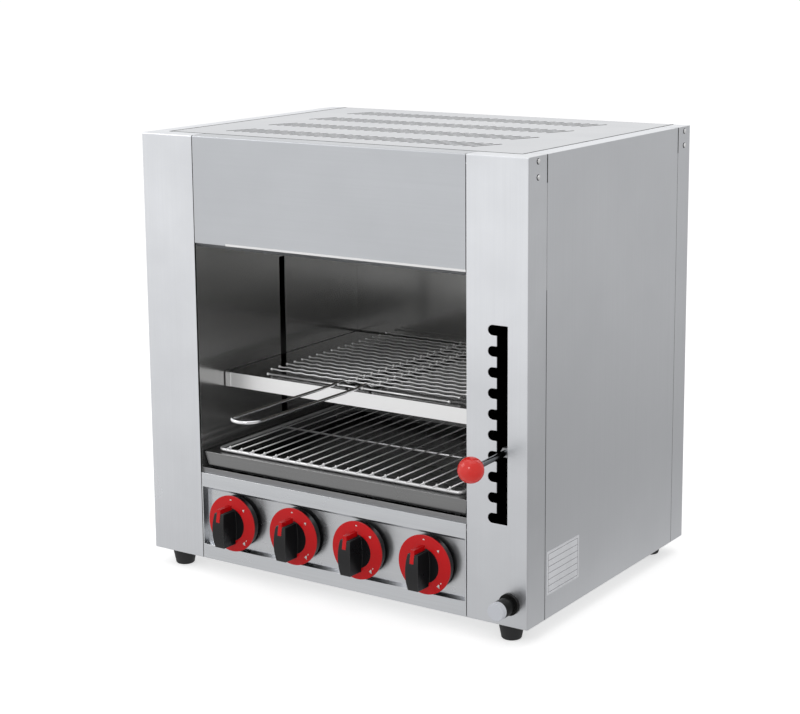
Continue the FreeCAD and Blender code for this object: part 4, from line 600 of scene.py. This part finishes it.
FINISHES = {
    "column": Steel("column steel", (0.80, 0.815, 0.845), 0.32, Grain.UPRIGHT, lit=Lit.OUTER,
                    streaks=0.03, edge_width=0.0012, edge_highlight_gain=0.6, painted_reflection_clouding=0.14),
    "side": Steel("side steel", (0.77, 0.785, 0.815), 0.34, Grain.UPRIGHT, lit=Lit.OUTER,
                  streaks=0.025, painted_reflection_clouding=0.05),
    "cover": Steel("cover steel", (0.60, 0.612, 0.635), 0.30, Grain.ACROSS, lit=Lit.TOP,
                   painted_shade_colour=(0.02, 0.02, 0.02)),
    "fascia": Steel("fascia steel", (0.56, 0.575, 0.60), 0.34, Grain.ACROSS, streaks=0.03,
                    painted_reflection_clouding=0.06),
    "frame": Steel("front frame steel", (0.71, 0.725, 0.75), 0.28, Grain.ACROSS),
    "panel": Steel("control panel steel", (0.67, 0.68, 0.70), 0.26, Grain.ACROSS),
    "liner": Steel("liner steel", (0.53, 0.53, 0.525), 0.18, Grain.UPRIGHT, lit=Lit.INNER,
                   edge_highlight_gain=0.15, metallic=0.88, marks=0.02, scratch_depth=0.0000005),
    "rack": Shelf("rack steel", (0.99, 0.99, 0.99), (0.20, 0.20, 0.20)),
    "carriage": Steel("dark carriage steel", (0.10, 0.10, 0.10), 0.4, Grain.UPRIGHT),
    "ledge": Steel("ledge steel", (0.26, 0.26, 0.265), 0.34, Grain.ACROSS, metallic=0.8),
    "tray": Steel("tray steel", (0.28, 0.28, 0.28), 0.26, Grain.ACROSS),
    "wire": Steel("bright wire", (0.86, 0.86, 0.87), 0.16, Grain.ROUND, streaks=0.06,
                  scratch_depth=0.00002, edge_width=0.0003),
    "grid": Steel("grid wire", (0.88, 0.88, 0.89), 0.20, Grain.ROUND, streaks=0.06,
                  edge_width=0.0003, metallic=0.6),
    # Painted highlight: near white with little metal, this finish stays bright like a glint on
    # welds, bar ends and the fascia's fold.
    "tip": Steel("painted highlight tip", (0.95, 0.95, 0.95), 0.4, Grain.ROUND, streaks=0.02, metallic=0.3),
    "rod": Steel("dark bright rod", (0.22, 0.23, 0.24), 0.20, Grain.ROUND, edge_width=0.0003),
    "zinc": Steel("zinc plate", (0.55, 0.56, 0.57), 0.38, Grain.ROUND),
    "burner": Steel("dull burner sheet", (0.16, 0.155, 0.15), 0.45, Grain.ACROSS),
    "shield": Steel("blackened shield", (0.03, 0.03, 0.03), 0.6, Grain.ACROSS),
    "brass": Steel("machined brass", (0.72, 0.55, 0.26), 0.30, Grain.ROUND),
    "tube": Steel("drawn tube", (0.72, 0.73, 0.74), 0.32, Grain.ROUND),
    "rivet": Steel("rivet", (0.95, 0.95, 0.96), 0.22, Grain.ROUND, edge_width=0.0002),
    "black": Moulding("black moulding", (0.007, 0.007, 0.008), 0.30, specular=0.4, edge_highlight_gain=0.10),
    "red": Moulding("red moulding", (0.64, 0.004, 0.007), 0.22, shade=0.05, specular=0.25),
    "ball": Moulding("red ball", (0.80, 0.030, 0.024), 0.15, shade=0.03, marks=0.02,
                     grain_depth=0.000005),
    "cap": Cap("grey cap on black", (0.68, 0.70, 0.75), (0.005, 0.005, 0.005), 9.0),
    "seam": Moulding("open seam", (0.03, 0.03, 0.034), 0.7, specular=0.05, edge_highlight_gain=0.0),
    "matt": Moulding("matt black", (0.006, 0.006, 0.006), 0.5, specular=0.2),
    "rubber": Moulding("black rubber", (0.018, 0.018, 0.019), 0.62, grain_depth=0.00005),
    "white": Moulding("white print", (0.86, 0.84, 0.82), 0.5),
    "plate": Moulding("blank plate", (0.80, 0.81, 0.84), 0.42),
    "ruling": Moulding("plate ruling", (0.10, 0.10, 0.12), 0.5),
    "ceramic": Plaque("ceramic plaque", (0.52, 0.47, 0.40), (0.04, 0.035, 0.03)),
}


@cache
def finish_material(name: str) -> bpy.types.Material:
    """Return the material of a finish in FINISHES, built the first time it is asked for."""
    return FINISHES[name].material()


def dress(**nodes: str) -> None:
    """Give construction nodes their finishes.

    Args:
        **nodes: For each finish, the names of its nodes with spaces between them.
    """
    for finish, names in nodes.items():
        for node in names.split():
            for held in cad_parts[node].material_slots:
                held.material = finish_material(finish)
            LOG.info("%s has %s", node, finish)


def mesh_object(name: str, built: Mesh, smooth: bool = True) -> bpy.types.Object:
    """Turn a built mesh into an object in the scene.

    Args:
        name: The object's name.
        built: The mesh, which is freed.
        smooth: Whether its faces are shaded smooth.

    Returns:
        The new object.
    """
    mesh = bpy.data.meshes.new(name)
    bmesh.ops.recalc_face_normals(built, faces=built.faces)
    built.to_mesh(mesh)
    built.free()
    for face in mesh.polygons:
        face.use_smooth = smooth
    obj = bpy.data.objects.new(name, mesh)
    bpy.context.scene.collection.objects.link(obj)
    return obj


def add_piece(name: str, built: Mesh, finish: str, slot: str, body: str, *stands_for: str,
              smooth: bool = True) -> None:
    """Put a new piece in the scene with its finish and body.

    Args:
        name: The piece's name.
        built: Its mesh, which is freed.
        finish: Its finish's name.
        slot: A material slot's name, which is not used.
        body: The body that it rides on.
        *stands_for: The construction nodes that it replaces.
        smooth: Whether its faces are shaded smooth.
    """
    obj = mesh_object(name, built, smooth)
    obj.data.materials.append(finish_material(finish))
    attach(obj, body)
    if stands_for:
        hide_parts(*stands_for)
    LOG.info("%s rides on %s", name, body)


def add_ring(built: Mesh, centre: Vector, along: Vector, one: Vector, radius: float,
             sides: int) -> list[bmesh.types.BMVert]:
    """Add a ring of vertices.

    Args:
        built: The mesh.
        centre: The ring's centre.
        along: The direction that it faces.
        one: The direction of its first vertex.
        radius: Its radius.
        sides: How many vertices it has.

    Returns:
        Its vertices in order.
    """
    two = along.cross(one)
    turns = [FULL_TURN * i / sides for i in range(sides)]
    return [built.verts.new(centre + (one * math.cos(turn) + two * math.sin(turn)) * radius)
            for turn in turns]


def skin(built: Mesh, rings: Sequence[list[bmesh.types.BMVert]]) -> None:
    """Join rings with faces and close both ends.

    Args:
        built: The mesh.
        rings: The rings from one end to the other, with as many vertices each.
    """
    for first, second in zip(rings, rings[1:]):
        for i in range(len(first)):
            following = (i + 1) % len(first)
            built.faces.new((first[i], first[following], second[following], second[i]))
    built.faces.new(rings[0])
    built.faces.new(rings[-1])


def add_lathe(built: Mesh, origin: Vector, axis: Vector, profile: Sequence[tuple[float, float]],
              sides: int) -> None:
    """Add a turned solid.

    Args:
        built: The mesh.
        origin: Where the profile's zero lies.
        axis: The direction that the profile runs in.
        profile: Distance along the axis and radius of each step, from one end to the other.
        sides: How many sides each ring has.
    """
    one = axis.orthogonal().normalized()
    skin(built, [add_ring(built, origin + axis * reach, axis, one, radius, sides)
                 for reach, radius in profile])


def add_wire(built: Mesh, points: Sequence[Vector], radius: float, sides: int = 10) -> None:
    """Add a round wire along points.

    Args:
        built: The mesh.
        points: The points of its middle line.
        radius: Its radius.
        sides: How many sides it has.
    """
    rings = []
    last = len(points) - 1
    for i, point in enumerate(points):
        along = (points[min(i + 1, last)] - points[max(i - 1, 0)]).normalized()
        rings.append(add_ring(built, point, along, along.cross(UP).normalized(), radius, sides))
    skin(built, rings)


def add_box(built: Mesh, low: Vector, high: Vector) -> None:
    """Add a box from its lowest to its highest corner."""
    size = Matrix.Diagonal((*(high - low), 1))
    bmesh.ops.create_cube(built, size=1.0, matrix=Matrix.Translation((low + high) / 2) @ size)


def add_blob(built: Mesh, spot: Matrix, size: Vector, sides: int = 12) -> None:
    """Add a flattened ball.

    Args:
        built: The mesh.
        spot: Its place and turn.
        size: Its radius in each direction.
        sides: How many sides it has.
    """
    bmesh.ops.create_uvsphere(built, u_segments=sides, v_segments=sides // 2, radius=1.0,
                              matrix=spot @ Matrix.Diagonal((*size, 1)))


class Part(Protocol):
    """A sub-assembly."""

    def build(self) -> None:
        """Make and dress its pieces."""


@dataclass
class Casing:
    """The outer sheets, their rivets and screws, the blank side plate and the feet."""

    foot_top_radius: float = 18.5
    foot_bottom_radius: float = 14.2
    foot_round: float = 3.0
    foot_round_steps: int = 6
    foot_top_steps: tuple[tuple[float, float], ...] = ((1.5, 0.2), (0.4, 0.0), (0.0, 0.3))
    foot_hole_radius: float = 4.5
    foot_hole_edge: tuple[float, float] = (0.4, 0.5)
    foot_hole_tip: float = 0.3
    foot_hole_depth: float = 6.0
    foot_sides: int = 48
    plate_front: float = 51.5
    plate_back: float = 141.5
    plate_low: float = 32.5
    plate_high: float = 94.0
    plate_thickness: float = 0.3
    ruling_width: float = 0.5
    ruling_rise: float = 0.05
    ruling_margin: float = 4.0
    ruling_rows: int = 6
    rivet_radius: float = 3.3
    rivet_rise: float = 1.3
    rivet_edge: float = 0.2
    rivet_tip: float = 0.2
    rivet_steps: int = 5
    rivet_sides: int = 20
    rivet_shadow_radius: float = 4.1
    rivet_shadow_shift: float = 1.1
    rivet_shadow_rise: float = 0.1
    rivet_places: tuple[tuple[float, float], ...] = ((24.0, 623.0), (24.0, 602.3), (456.0, 623.0),
                                                     (456.0, 602.3))
    seam_width: float = 2.6
    seam_rise: float = 0.12
    cover_front: float = 31.0
    cover_side: float = 27.5
    side_seam_width: float = 2.0
    side_seam_places: tuple[float, float] = (46.9, 434.6)
    side_seam_length: float = 37.0
    lower_seam_width: float = 0.9
    lower_seam_top: float = 452.0
    lip_left: float = 152.0
    lip_right: float = 555.2
    lip_low: float = 474.4
    lip_high: float = 477.6
    lip_rise: float = 0.25

    def build(self) -> None:
        """Dress the sheets and make the feet, the plate, the rivets with their painted shadows, the
        joints and the painted highlight on the fascia's fold.
        """
        dress(column="left_front_column right_front_column",
              side="left_side_panel right_side_panel left_rear_column right_rear_column back_panel",
              cover="top_cover", fascia="fascia", frame="control_frame", panel="control_panel",
              zinc="base_pan", rivet="screws")
        self.feet()
        self.side_plate()
        self.rivets()
        self.seams()
        self.fold_highlight()

    def foot_profile(self, height: float) -> list[tuple[float, float]]:
        """Return a foot's turned profile from its hole up to the casing.

        Args:
            height: The foot's height in millimetres.

        Returns:
            Height and radius of each step.
        """
        up, out = self.foot_hole_edge
        profile = [(self.foot_hole_depth, self.foot_hole_tip),
                   (self.foot_hole_depth, self.foot_hole_radius),
                   (up, self.foot_hole_radius), (0.0, self.foot_hole_radius + out)]
        for i in range(self.foot_round_steps + 1):
            turn = QUARTER_TURN * i / self.foot_round_steps
            profile.append((self.foot_round * (1 - math.cos(turn)),
                            self.foot_bottom_radius - self.foot_round * (1 - math.sin(turn))))
        return profile + [(height - drop, self.foot_top_radius - inset)
                          for drop, inset in self.foot_top_steps]

    def feet(self) -> None:
        """Make the four tapered rubber feet."""
        low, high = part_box("feet")
        inset = self.foot_top_radius * MM
        profile = [(reach * MM, radius * MM)
                   for reach, radius in self.foot_profile((high.z - low.z) / MM)]
        built = bmesh.new()
        for x in (low.x + inset, high.x - inset):
            for y in (low.y + inset, high.y - inset):
                add_lathe(built, Vector((x, y, low.z)), UP, profile, self.foot_sides)
        add_piece("rubber_feet", built, "rubber", "rubber", "casing", "feet")

    def side_plate(self) -> None:
        """Make the blank plate on the right side and the thin ruling on it."""
        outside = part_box("right_side_panel")[1].x
        face = outside + self.plate_thickness * MM
        low = place(0, self.plate_front, self.plate_low)
        high = place(0, self.plate_back, self.plate_high)
        low.x, high.x = outside, face
        built = bmesh.new()
        add_box(built, low, high)
        add_piece("side_plate", built, "plate", "bright_sheet", "casing", smooth=False)
        built = bmesh.new()
        margin = self.ruling_margin * MM
        half = self.ruling_width * MM / 2
        rise = self.ruling_rise * MM
        front, back = low.y + margin, high.y - margin
        bottom, top = low.z + margin, high.z - margin
        for i in range(self.ruling_rows + 1):
            z = bottom + (top - bottom) * i / self.ruling_rows
            add_box(built, Vector((face, front, z - half)), Vector((face + rise, back, z + half)))
        for y in (front, back):
            add_box(built, Vector((face, y - half, bottom)), Vector((face + rise, y + half, top)))
        add_piece("side_plate_ruling", built, "ruling", "grey_plastic", "casing", smooth=False)

    def rivets(self) -> None:
        """Make the domed rivets at the top of both sides, each on a dark disc shifted forward as a
        painted shadow.
        """
        radius = self.rivet_radius * MM
        tip = self.rivet_tip * MM
        rim = self.rivet_shadow_radius * MM
        profile = [(0.0, radius)]
        for i in range(self.rivet_steps + 1):
            turn = QUARTER_TURN * i / self.rivet_steps
            share = self.rivet_edge + (1 - self.rivet_edge) * math.sin(turn)
            profile.append((self.rivet_rise * MM * share, max(radius * math.cos(turn), tip)))
        domes, rivet_shadow_discs = bmesh.new(), bmesh.new()
        for side, face in ((-1, CASING_CORNER.x), (1, CASING_FAR_CORNER.x)):
            axis = Vector((side, 0, 0))
            for y, z in self.rivet_places:
                centre = place(0, y, z)
                centre.x = face
                add_lathe(domes, centre, axis, profile, self.rivet_sides)
                # Painted shadow: a thin dark disc under each rivet, shifted forward.
                add_lathe(rivet_shadow_discs, centre - Vector((0, self.rivet_shadow_shift * MM, 0)), axis,
                          [(0.0, rim), (self.rivet_shadow_rise * MM, rim)], self.rivet_sides)
        add_piece("domed_rivets", domes, "rivet", "chromed_wire", "casing", "rivets")
        add_piece("rivet_shadows", rivet_shadow_discs, "seam", "matte_black", "casing", smooth=False)

    def seams(self) -> None:
        """Make the shadowed joints of the top cover and of the side panels."""
        low, high = CASING_CORNER, CASING_FAR_CORNER
        half = self.seam_width * MM / 2
        rise = self.seam_rise * MM
        top = high.z
        front = low.y + self.cover_front * MM
        left = low.x + self.cover_side * MM
        right = high.x - self.cover_side * MM
        built = bmesh.new()
        add_box(built, Vector((left, front - half, top)), Vector((right, front + half, top + rise)))
        for x in (left, right):
            add_box(built, Vector((x - half, front, top)), Vector((x + half, high.y, top + rise)))
        end = top - self.side_seam_length * MM
        uprights = [(y, self.side_seam_width, end, top) for y in self.side_seam_places]
        uprights.append((self.side_seam_places[0], self.lower_seam_width, low.z,
                         low.z + self.lower_seam_top * MM))
        for face in (low.x - rise, high.x):
            for y, width, bottom, upper in uprights:
                at = low.y + y * MM
                wide = width * MM / 2
                add_box(built, Vector((face, at - wide, bottom)),
                        Vector((face + rise, at + wide, upper)))
        add_piece("cover_seams", built, "seam", "matte_black", "casing", smooth=False)

    def fold_highlight(self) -> None:
        """Make the bright band along the fascia's lower fold, a painted highlight."""
        built = bmesh.new()
        # Painted highlight: a near-white strip on the fold.
        add_box(built, place(self.lip_left, -self.lip_rise, self.lip_low),
                place(self.lip_right, 0.0, self.lip_high))
        add_piece("fascia_fold_highlight", built, "tip", "brushed_casing", "casing", smooth=False)


@dataclass
class Cavity:
    """The walls and floor of the cooking space, the burners over it and the gas parts."""

    def build(self) -> None:
        """Dress the liner, the burners and the gas train."""
        dress(liner="cavity_left_wall cavity_right_wall cavity_back_wall cavity_floor",
              zinc="guide_brackets gas_manifold gas_inlet", carriage="tray_runners",
              burner="burner_frame burner_housings mixing_tubes", shield="heat_shield",
              ceramic="burner_plaques", white="spark_electrode", rubber="ignition_lead",
              brass="injectors gas_valves", tube="gas_tubes", wire="guide_rods")


@dataclass
class Rack:
    """The lifted rack, its carriages and the lever with its ball."""

    def build(self) -> None:
        """Dress the rack and the lever. The steel doesn't mirror the ball."""
        dress(rack="rack_tray", carriage="carriage_left carriage_right", zinc="lever_collar",
              brass="carriage_bushes", rod="lever_rod", ball="lever_ball")
        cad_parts["lever_ball"].visible_glossy = False


@dataclass
class PullOutGrid:
    """The upper grid: crimped cross wires welded to the rod that loops out as the handle."""

    wire_radius: float = 1.3
    first_gap: float = 27.0
    pitch: float = 18.8
    crimp_length: float = 24.0
    crimp_rise: float = 0.42
    steps_per_crimp: int = 12
    front_step: float = 14.0
    tip_radius: float = 2.3
    weld_radius: float = 2.4
    weld_flatness: float = 0.8
    handle_radius: float = 2.1

    def build(self) -> None:
        """Make the crimped wires with their welds and dress the handle."""
        low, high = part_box("upper_grid")
        handle_low, handle_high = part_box("grid_handle")
        z = (low.z + high.z) / 2
        front = low.y + self.wire_radius * MM
        second = front + self.first_gap * MM
        last = high.y - self.wire_radius * MM
        count = round((last - second) / (self.pitch * MM)) + 1
        built, welds = bmesh.new(), bmesh.new()
        left = low.x + self.front_step * MM
        self.add_cross_wire(built, [Vector((left, front, z)), Vector((high.x, front, z))])
        rows = [front]
        for i in range(count):
            y = second + (last - second) * i / (count - 1)
            self.add_cross_wire(built, self.crimped(low.x, high.x, y, z, i % 2 == 0))
            rows.append(y)
        middle = (handle_high.x + handle_low.x) / 2
        leg = (handle_high.x - handle_low.x) / 2 - self.handle_radius * MM
        size = Vector((1, self.weld_flatness, self.weld_flatness)) * self.weld_radius * MM
        for y in rows:
            for x in (middle - leg, middle + leg):
                add_blob(welds, Matrix.Translation((x, y, z)), size)
        # The welds carry a painted highlight.
        add_piece("grid_welds", welds, "tip", "chromed_wire", "upper_grid")
        add_piece("crimped_grid", built, "grid", "chromed_wire", "upper_grid", "upper_grid")
        dress(wire="grid_handle")

    def add_cross_wire(self, built: Mesh, points: Sequence[Vector]) -> None:
        """Add one wire with its rounded tips.

        Args:
            built: The mesh.
            points: The points of its middle line.
        """
        add_wire(built, points, self.wire_radius * MM)
        for end in (points[0], points[-1]):
            add_blob(built, Matrix.Translation(end), Vector((1, 1, 1)) * self.tip_radius * MM)

    def crimped(self, left: float, right: float, y: float, z: float,
                up_first: bool) -> list[Vector]:
        """Return the middle line of a crimped wire.

        Args:
            left: Where it starts.
            right: Where it ends.
            y: Its place from front to back.
            z: Its mean height.
            up_first: Whether its first crimp rises.

        Returns:
            Its points.
        """
        length = self.crimp_length * MM
        steps = round((right - left) / length * self.steps_per_crimp)
        rise = self.crimp_rise * MM * (1 if up_first else -1)
        across = [left + (right - left) * i / steps for i in range(steps + 1)]
        return [Vector((x, y, z + rise * math.sin(FULL_TURN * (x - left) / length)))
                for x in across]


@dataclass
class TrayAndGrid:
    """The drip tray, the lower grid on it and the ledge under its front."""

    bar_count: int = 19
    bar_radius: float = 1.1
    first_bar: float = 21.25
    bar_pitch: float = 21.25
    rim_radius: float = 2.5
    rim_sides: int = 12
    rim_front: float = 7.0
    rim_corner: float = 8.0
    corner_steps: int = 6
    rod_radius: float = 1.7
    rod_share: float = 0.4
    tip_inset: float = 9.5
    tip_radius: float = 2.0
    tip_height: float = 2.8
    tip_drop: float = 1.2
    ledge_left: float = 95.5
    ledge_right: float = 554.5
    ledge_front: float = 4.0
    ledge_sheet: float = 0.8
    ledge_low: float = 131.1
    ledge_high: float = 138.3

    def build(self) -> None:
        """Dress the tray and make the grid and the ledge."""
        dress(tray="drip_tray")
        self.grid()
        self.bar_tips()
        self.ledge()

    def bar_places(self) -> list[float]:
        """Return where the lower grid's bars lie from left to right."""
        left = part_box("lower_grid")[0].x
        return [left + (self.first_bar + self.bar_pitch * i) * MM for i in range(self.bar_count)]

    def grid(self) -> None:
        """Make the lower grid: a rounded rim, thin bars over it and the rod under the bars."""
        low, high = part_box("lower_grid")
        rim, bar, rod = (radius * MM for radius in (self.rim_radius, self.bar_radius,
                                                    self.rod_radius))
        rim_z = high.z - bar * 2 - rim
        inset = self.rim_front * MM
        corner = self.rim_corner * MM
        front, back = low.y + inset, high.y - inset
        left, right = low.x + rim, high.x - rim
        centres = ((right - corner, front + corner, -90), (right - corner, back - corner, 0),
                   (left + corner, back - corner, 90), (left + corner, front + corner, 180))
        points = []
        for x, y, start in centres:
            for i in range(self.corner_steps + 1):
                turn = math.radians(start + 90 * i / self.corner_steps)
                points.append(Vector((x + corner * math.cos(turn), y + corner * math.sin(turn),
                                      rim_z)))
        built = bmesh.new()
        add_wire(built, points + points[:2], rim, self.rim_sides)
        bar_z = high.z - bar
        for x in self.bar_places():
            add_wire(built, [Vector((x, low.y, bar_z)), Vector((x, high.y, bar_z))], bar)
        y = front + (back - front) * self.rod_share
        z = bar_z - bar - rod
        add_wire(built, [Vector((left, y, z)), Vector((right, y, z))], rod)
        add_piece("thin_grid", built, "grid", "chromed_wire", "lower_grid", "lower_grid")

    def bar_tips(self) -> None:
        """Make the upset ends of the lower grid's bars where they stand on its rim, finished bright
        as a painted highlight.
        """
        low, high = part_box("lower_grid")
        size = Vector((self.tip_radius, self.tip_radius, self.tip_height)) * MM
        z = high.z - self.tip_drop * MM
        built = bmesh.new()
        for x in self.bar_places():
            for y in (low.y + self.tip_inset * MM, high.y - self.tip_inset * MM):
                add_blob(built, Matrix.Translation((x, y, z)), size)
        add_piece("bar_tips", built, "tip", "chromed_wire", "lower_grid")

    def ledge(self) -> None:
        """Make the floor's turned-up front edge between the tray and the rail under it."""
        built = bmesh.new()
        add_box(built, place(self.ledge_left, self.ledge_front, self.ledge_low),
                place(self.ledge_right, self.ledge_front + self.ledge_sheet, self.ledge_high))
        add_piece("floor_ledge", built, "ledge", "mirror_liner", "casing", smooth=False)


@dataclass
class Knob:
    """One control knob with the printed marks on its red ring.

    A mark is given by its degrees clockwise from the top as seen from the front, its distance from
    the knob's centre and its size: a dot's radius, or a drop's size as a share of the usual one.
    """

    number: int
    ring_radius: float = 42.0
    ring_bore: float = 25.0
    ring_face: float = 8.5
    ring_cone: float = 3.0
    dots: tuple[Mark, ...] = ((0.0, 35.7, 1.7), (128.0, 34.5, 1.36))
    drops: tuple[Mark, ...] = ((45.0, 32.5, 1.25), (138.0, 34.0, 1.5))
    dot_sides: int = 20
    drop_radius: float = 1.7
    drop_length: float = 5.0
    drop_start: float = 170.0
    drop_sweep: float = 200.0
    drop_steps: int = 12
    print_rise: float = 0.12

    def build(self) -> None:
        """Dress the knob and print its marks. The steel doesn't mirror the ring."""
        name = f"knob_{self.number}"
        ring = f"knob_ring_{self.number}"
        dress(black=name, red=ring, brass=f"valve_stem_{self.number}")
        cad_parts[ring].visible_glossy = False
        low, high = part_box(name)
        centre = Vector(((low.x + high.x) / 2, CASING_CORNER.y, (low.z + high.z) / 2))
        built = bmesh.new()
        for turn, reach, radius in self.dots:
            size = Vector((radius, self.print_rise, radius)) * MM
            add_blob(built, self.spot(centre, turn, reach), size, self.dot_sides)
        for turn, reach, scale in self.drops:
            self.add_drop(built, self.spot(centre, turn, reach), scale * MM)
        add_piece(f"knob_marks_{self.number}", built, "white", "grey_plastic", name)

    def spot(self, centre: Vector, turn: float, reach: float) -> Matrix:
        """Return the place and slant of the ring's face at a mark.

        Args:
            centre: The knob's centre on the casing's front plane.
            turn: Degrees clockwise from the top, as seen from the front.
            reach: Distance from the centre in millimetres.

        Returns:
            A matrix whose X runs round the ring, Y out of its face and Z towards its rim.
        """
        angle = math.radians(turn)
        width = self.ring_radius - self.ring_bore
        depth = self.ring_face + self.ring_cone * (self.ring_radius - reach) / width
        at = centre + Vector((math.sin(angle) * reach, -depth, math.cos(angle) * reach)) * MM
        slant = Matrix.Rotation(math.atan2(self.ring_cone, width), 4, "X")
        return Matrix.Translation(at) @ Matrix.Rotation(angle, 4, "Y") @ slant

    def add_drop(self, built: Mesh, spot: Matrix, scale: float) -> None:
        """Print a plain drop with its point towards the rim.

        Args:
            built: The mesh.
            spot: The place and slant of its round end.
            scale: Its size in metres for each millimetre of the usual one.
        """
        radius = self.drop_radius * scale
        turns = [math.radians(self.drop_start + self.drop_sweep * i / self.drop_steps)
                 for i in range(self.drop_steps + 1)]
        outline = [(radius * math.cos(turn), radius * math.sin(turn)) for turn in turns]
        outline.append((0.0, self.drop_length * scale - radius))
        rise = self.print_rise * MM
        skin(built, [[built.verts.new(spot @ Vector((x, y, z))) for x, z in outline]
                     for y in (-rise, rise)])


@dataclass
class Igniter:
    """The piezo igniter: black neck and bezel, grey push cap."""

    def build(self) -> None:
        """Dress its pieces."""
        dress(matt="igniter_body igniter_bezel", cap="igniter_button")


@dataclass
class Studio:
    """The floor, the light and the camera."""

    image_width: int = 800
    image_height: int = 714
    focal_pixels: float = 1839.0
    principal_row: float = 285.0
    sensor_width: float = 36.0
    camera_place: Point = (1.4784, -2.1576, 0.9252)
    azimuth: float = 33.92
    down: float = 10.59
    roll: float = -0.49
    floor_size: float = 60.0
    floor_colour: Colour = (0.80, 0.80, 0.80)
    floor_roughness: float = 0.9
    floor_glow: float = 0.55
    floor_near: float = 0.66
    floor_far: float = 0.98
    floor_range: tuple[float, float] = (0.3, 2.6)
    floor_right: tuple[float, float] = (0.1, 0.7)
    world_strength: float = 0.62
    world_right: tuple[float, float] = (-0.1, 0.7)
    right_tone: float = 0.55
    aim: Point = (0.0, 0.0, 0.3)
    softboxes: tuple[tuple[str, Point, float, float], ...] = (
        ("front softbox", (0.9, -3.1, 2.2), 0.9, 12.0),
        ("left softbox", (-2.6, -1.6, 2.2), 1.6, 16.0),
        ("top softbox", (0.3, 0.4, 3.4), 3.2, 15.0))

    def build(self) -> None:
        """Set up the stage."""
        self.world()
        self.floor()
        for softbox in self.softboxes:
            self.lamp(*softbox)
        self.camera()
        bpy.context.scene.view_settings.view_transform = "Standard"

    @staticmethod
    def rays(graph: Graph) -> tuple[Socket, Socket]:
        """Tell the kinds of rays apart.

        Args:
            graph: The node tree of the world or the floor.

        Returns:
            A mask for rays of gloss, and one for rays from the camera or through glass.
        """
        path = graph.node("ShaderNodeLightPath").outputs
        return path["Is Glossy Ray"], graph.maths("MAXIMUM", path["Is Camera Ray"],
                                                  path["Is Transmission Ray"])

    def world(self) -> None:
        """Make a white world for the camera and for reflections, softer for the light itself."""
        made = bpy.data.worlds.new("studio")
        bpy.context.scene.world = made
        made.use_nodes = True
        graph = Graph(made.node_tree)
        glossy, seen = self.rays(graph)
        way = graph.part(graph.coordinates("Generated"), "X")
        mirrored = graph.span(way, *self.world_right, 1.0, self.right_tone, True)
        strength = graph.mix(glossy, self.world_strength, mirrored, colour=False)
        strength = graph.mix(seen, strength, 1.0, colour=False)
        back = graph.node("ShaderNodeBackground", WHITE, strength)
        graph.node("ShaderNodeOutputWorld", back.outputs[0])

    def floor(self) -> None:
        """Make the pale floor, which keeps the object's shadow."""
        built = bmesh.new()
        bmesh.ops.create_grid(built, x_segments=1, y_segments=1, size=self.floor_size / 2)
        floor = mesh_object("floor", built, False)
        graph = Surface("pale floor")
        glossy, seen = self.rays(graph)
        reach = graph.vector("LENGTH", graph.coordinates())["Value"]
        mirrored = graph.span(reach, *self.floor_range, self.floor_near, self.floor_far)
        across = graph.part(graph.coordinates(), "X")
        right = graph.span(across, *self.floor_right, 1.0, self.right_tone, True)
        mirrored = graph.maths("MULTIPLY", mirrored, right)
        glow = graph.maths("MULTIPLY", seen, self.floor_glow)
        floor.data.materials.append(graph.finish({
            "Base Color": graph.mix(glossy, self.floor_colour, (0.0, 0.0, 0.0)),
            "Roughness": self.floor_roughness, "Specular IOR Level": 0.0, "Emission Color": WHITE,
            "Emission Strength": graph.mix(glossy, glow, mirrored, colour=False)}))

    def lamp(self, name: str, where: Point, size: float, watts: float) -> None:
        """Add one square softbox that faces the machine.

        Args:
            name: Its name.
            where: Its place.
            size: Its side.
            watts: Its power.
        """
        data = bpy.data.lights.new(name, "AREA")
        data.size = size
        data.energy = watts
        lamp = bpy.data.objects.new(name, data)
        lamp.location = where
        way = Vector(self.aim) - Vector(where)
        lamp.rotation_euler = way.to_track_quat("-Z", "Y").to_euler()
        bpy.context.scene.collection.objects.link(lamp)

    def camera(self) -> None:
        """Add the camera at the photograph's angle."""
        azimuth, down, roll = (math.radians(turn) for turn in (self.azimuth, self.down, self.roll))
        look = Vector((-math.sin(azimuth) * math.cos(down), math.cos(azimuth) * math.cos(down),
                       -math.sin(down)))
        right = look.cross(UP).normalized()
        up = right.cross(look)
        level = right * math.cos(roll) + up * math.sin(roll)
        tall = up * math.cos(roll) - right * math.sin(roll)
        data = bpy.data.cameras.new("camera")
        data.sensor_fit = "HORIZONTAL"
        data.sensor_width = self.sensor_width
        data.lens = self.focal_pixels / self.image_width * self.sensor_width
        data.shift_y = (self.principal_row - self.image_height / 2) / self.image_width
        camera = bpy.data.objects.new("camera", data)
        turned = Matrix((level, tall, -look)).transposed().to_4x4()
        camera.matrix_world = Matrix.Translation(Vector(self.camera_place)) @ turned
        bpy.context.scene.collection.objects.link(camera)
        bpy.context.scene.camera = camera


def sub_assemblies() -> list[Part]:
    """Return the sub-assemblies in the order in which they are built."""
    knobs = [Knob(number) for number in range(1, 5)]
    return [Studio(), Casing(), Cavity(), Rack(), PullOutGrid(), TrayAndGrid(), *knobs, Igniter()]


def main() -> None:
    """Build every sub-assembly in order."""
    logging.basicConfig(level=logging.INFO, format="%(message)s")
    for part in sub_assemblies():
        part.build()
        LOG.info("%s is built", type(part).__name__)


if __name__ == "__main__":
    main()
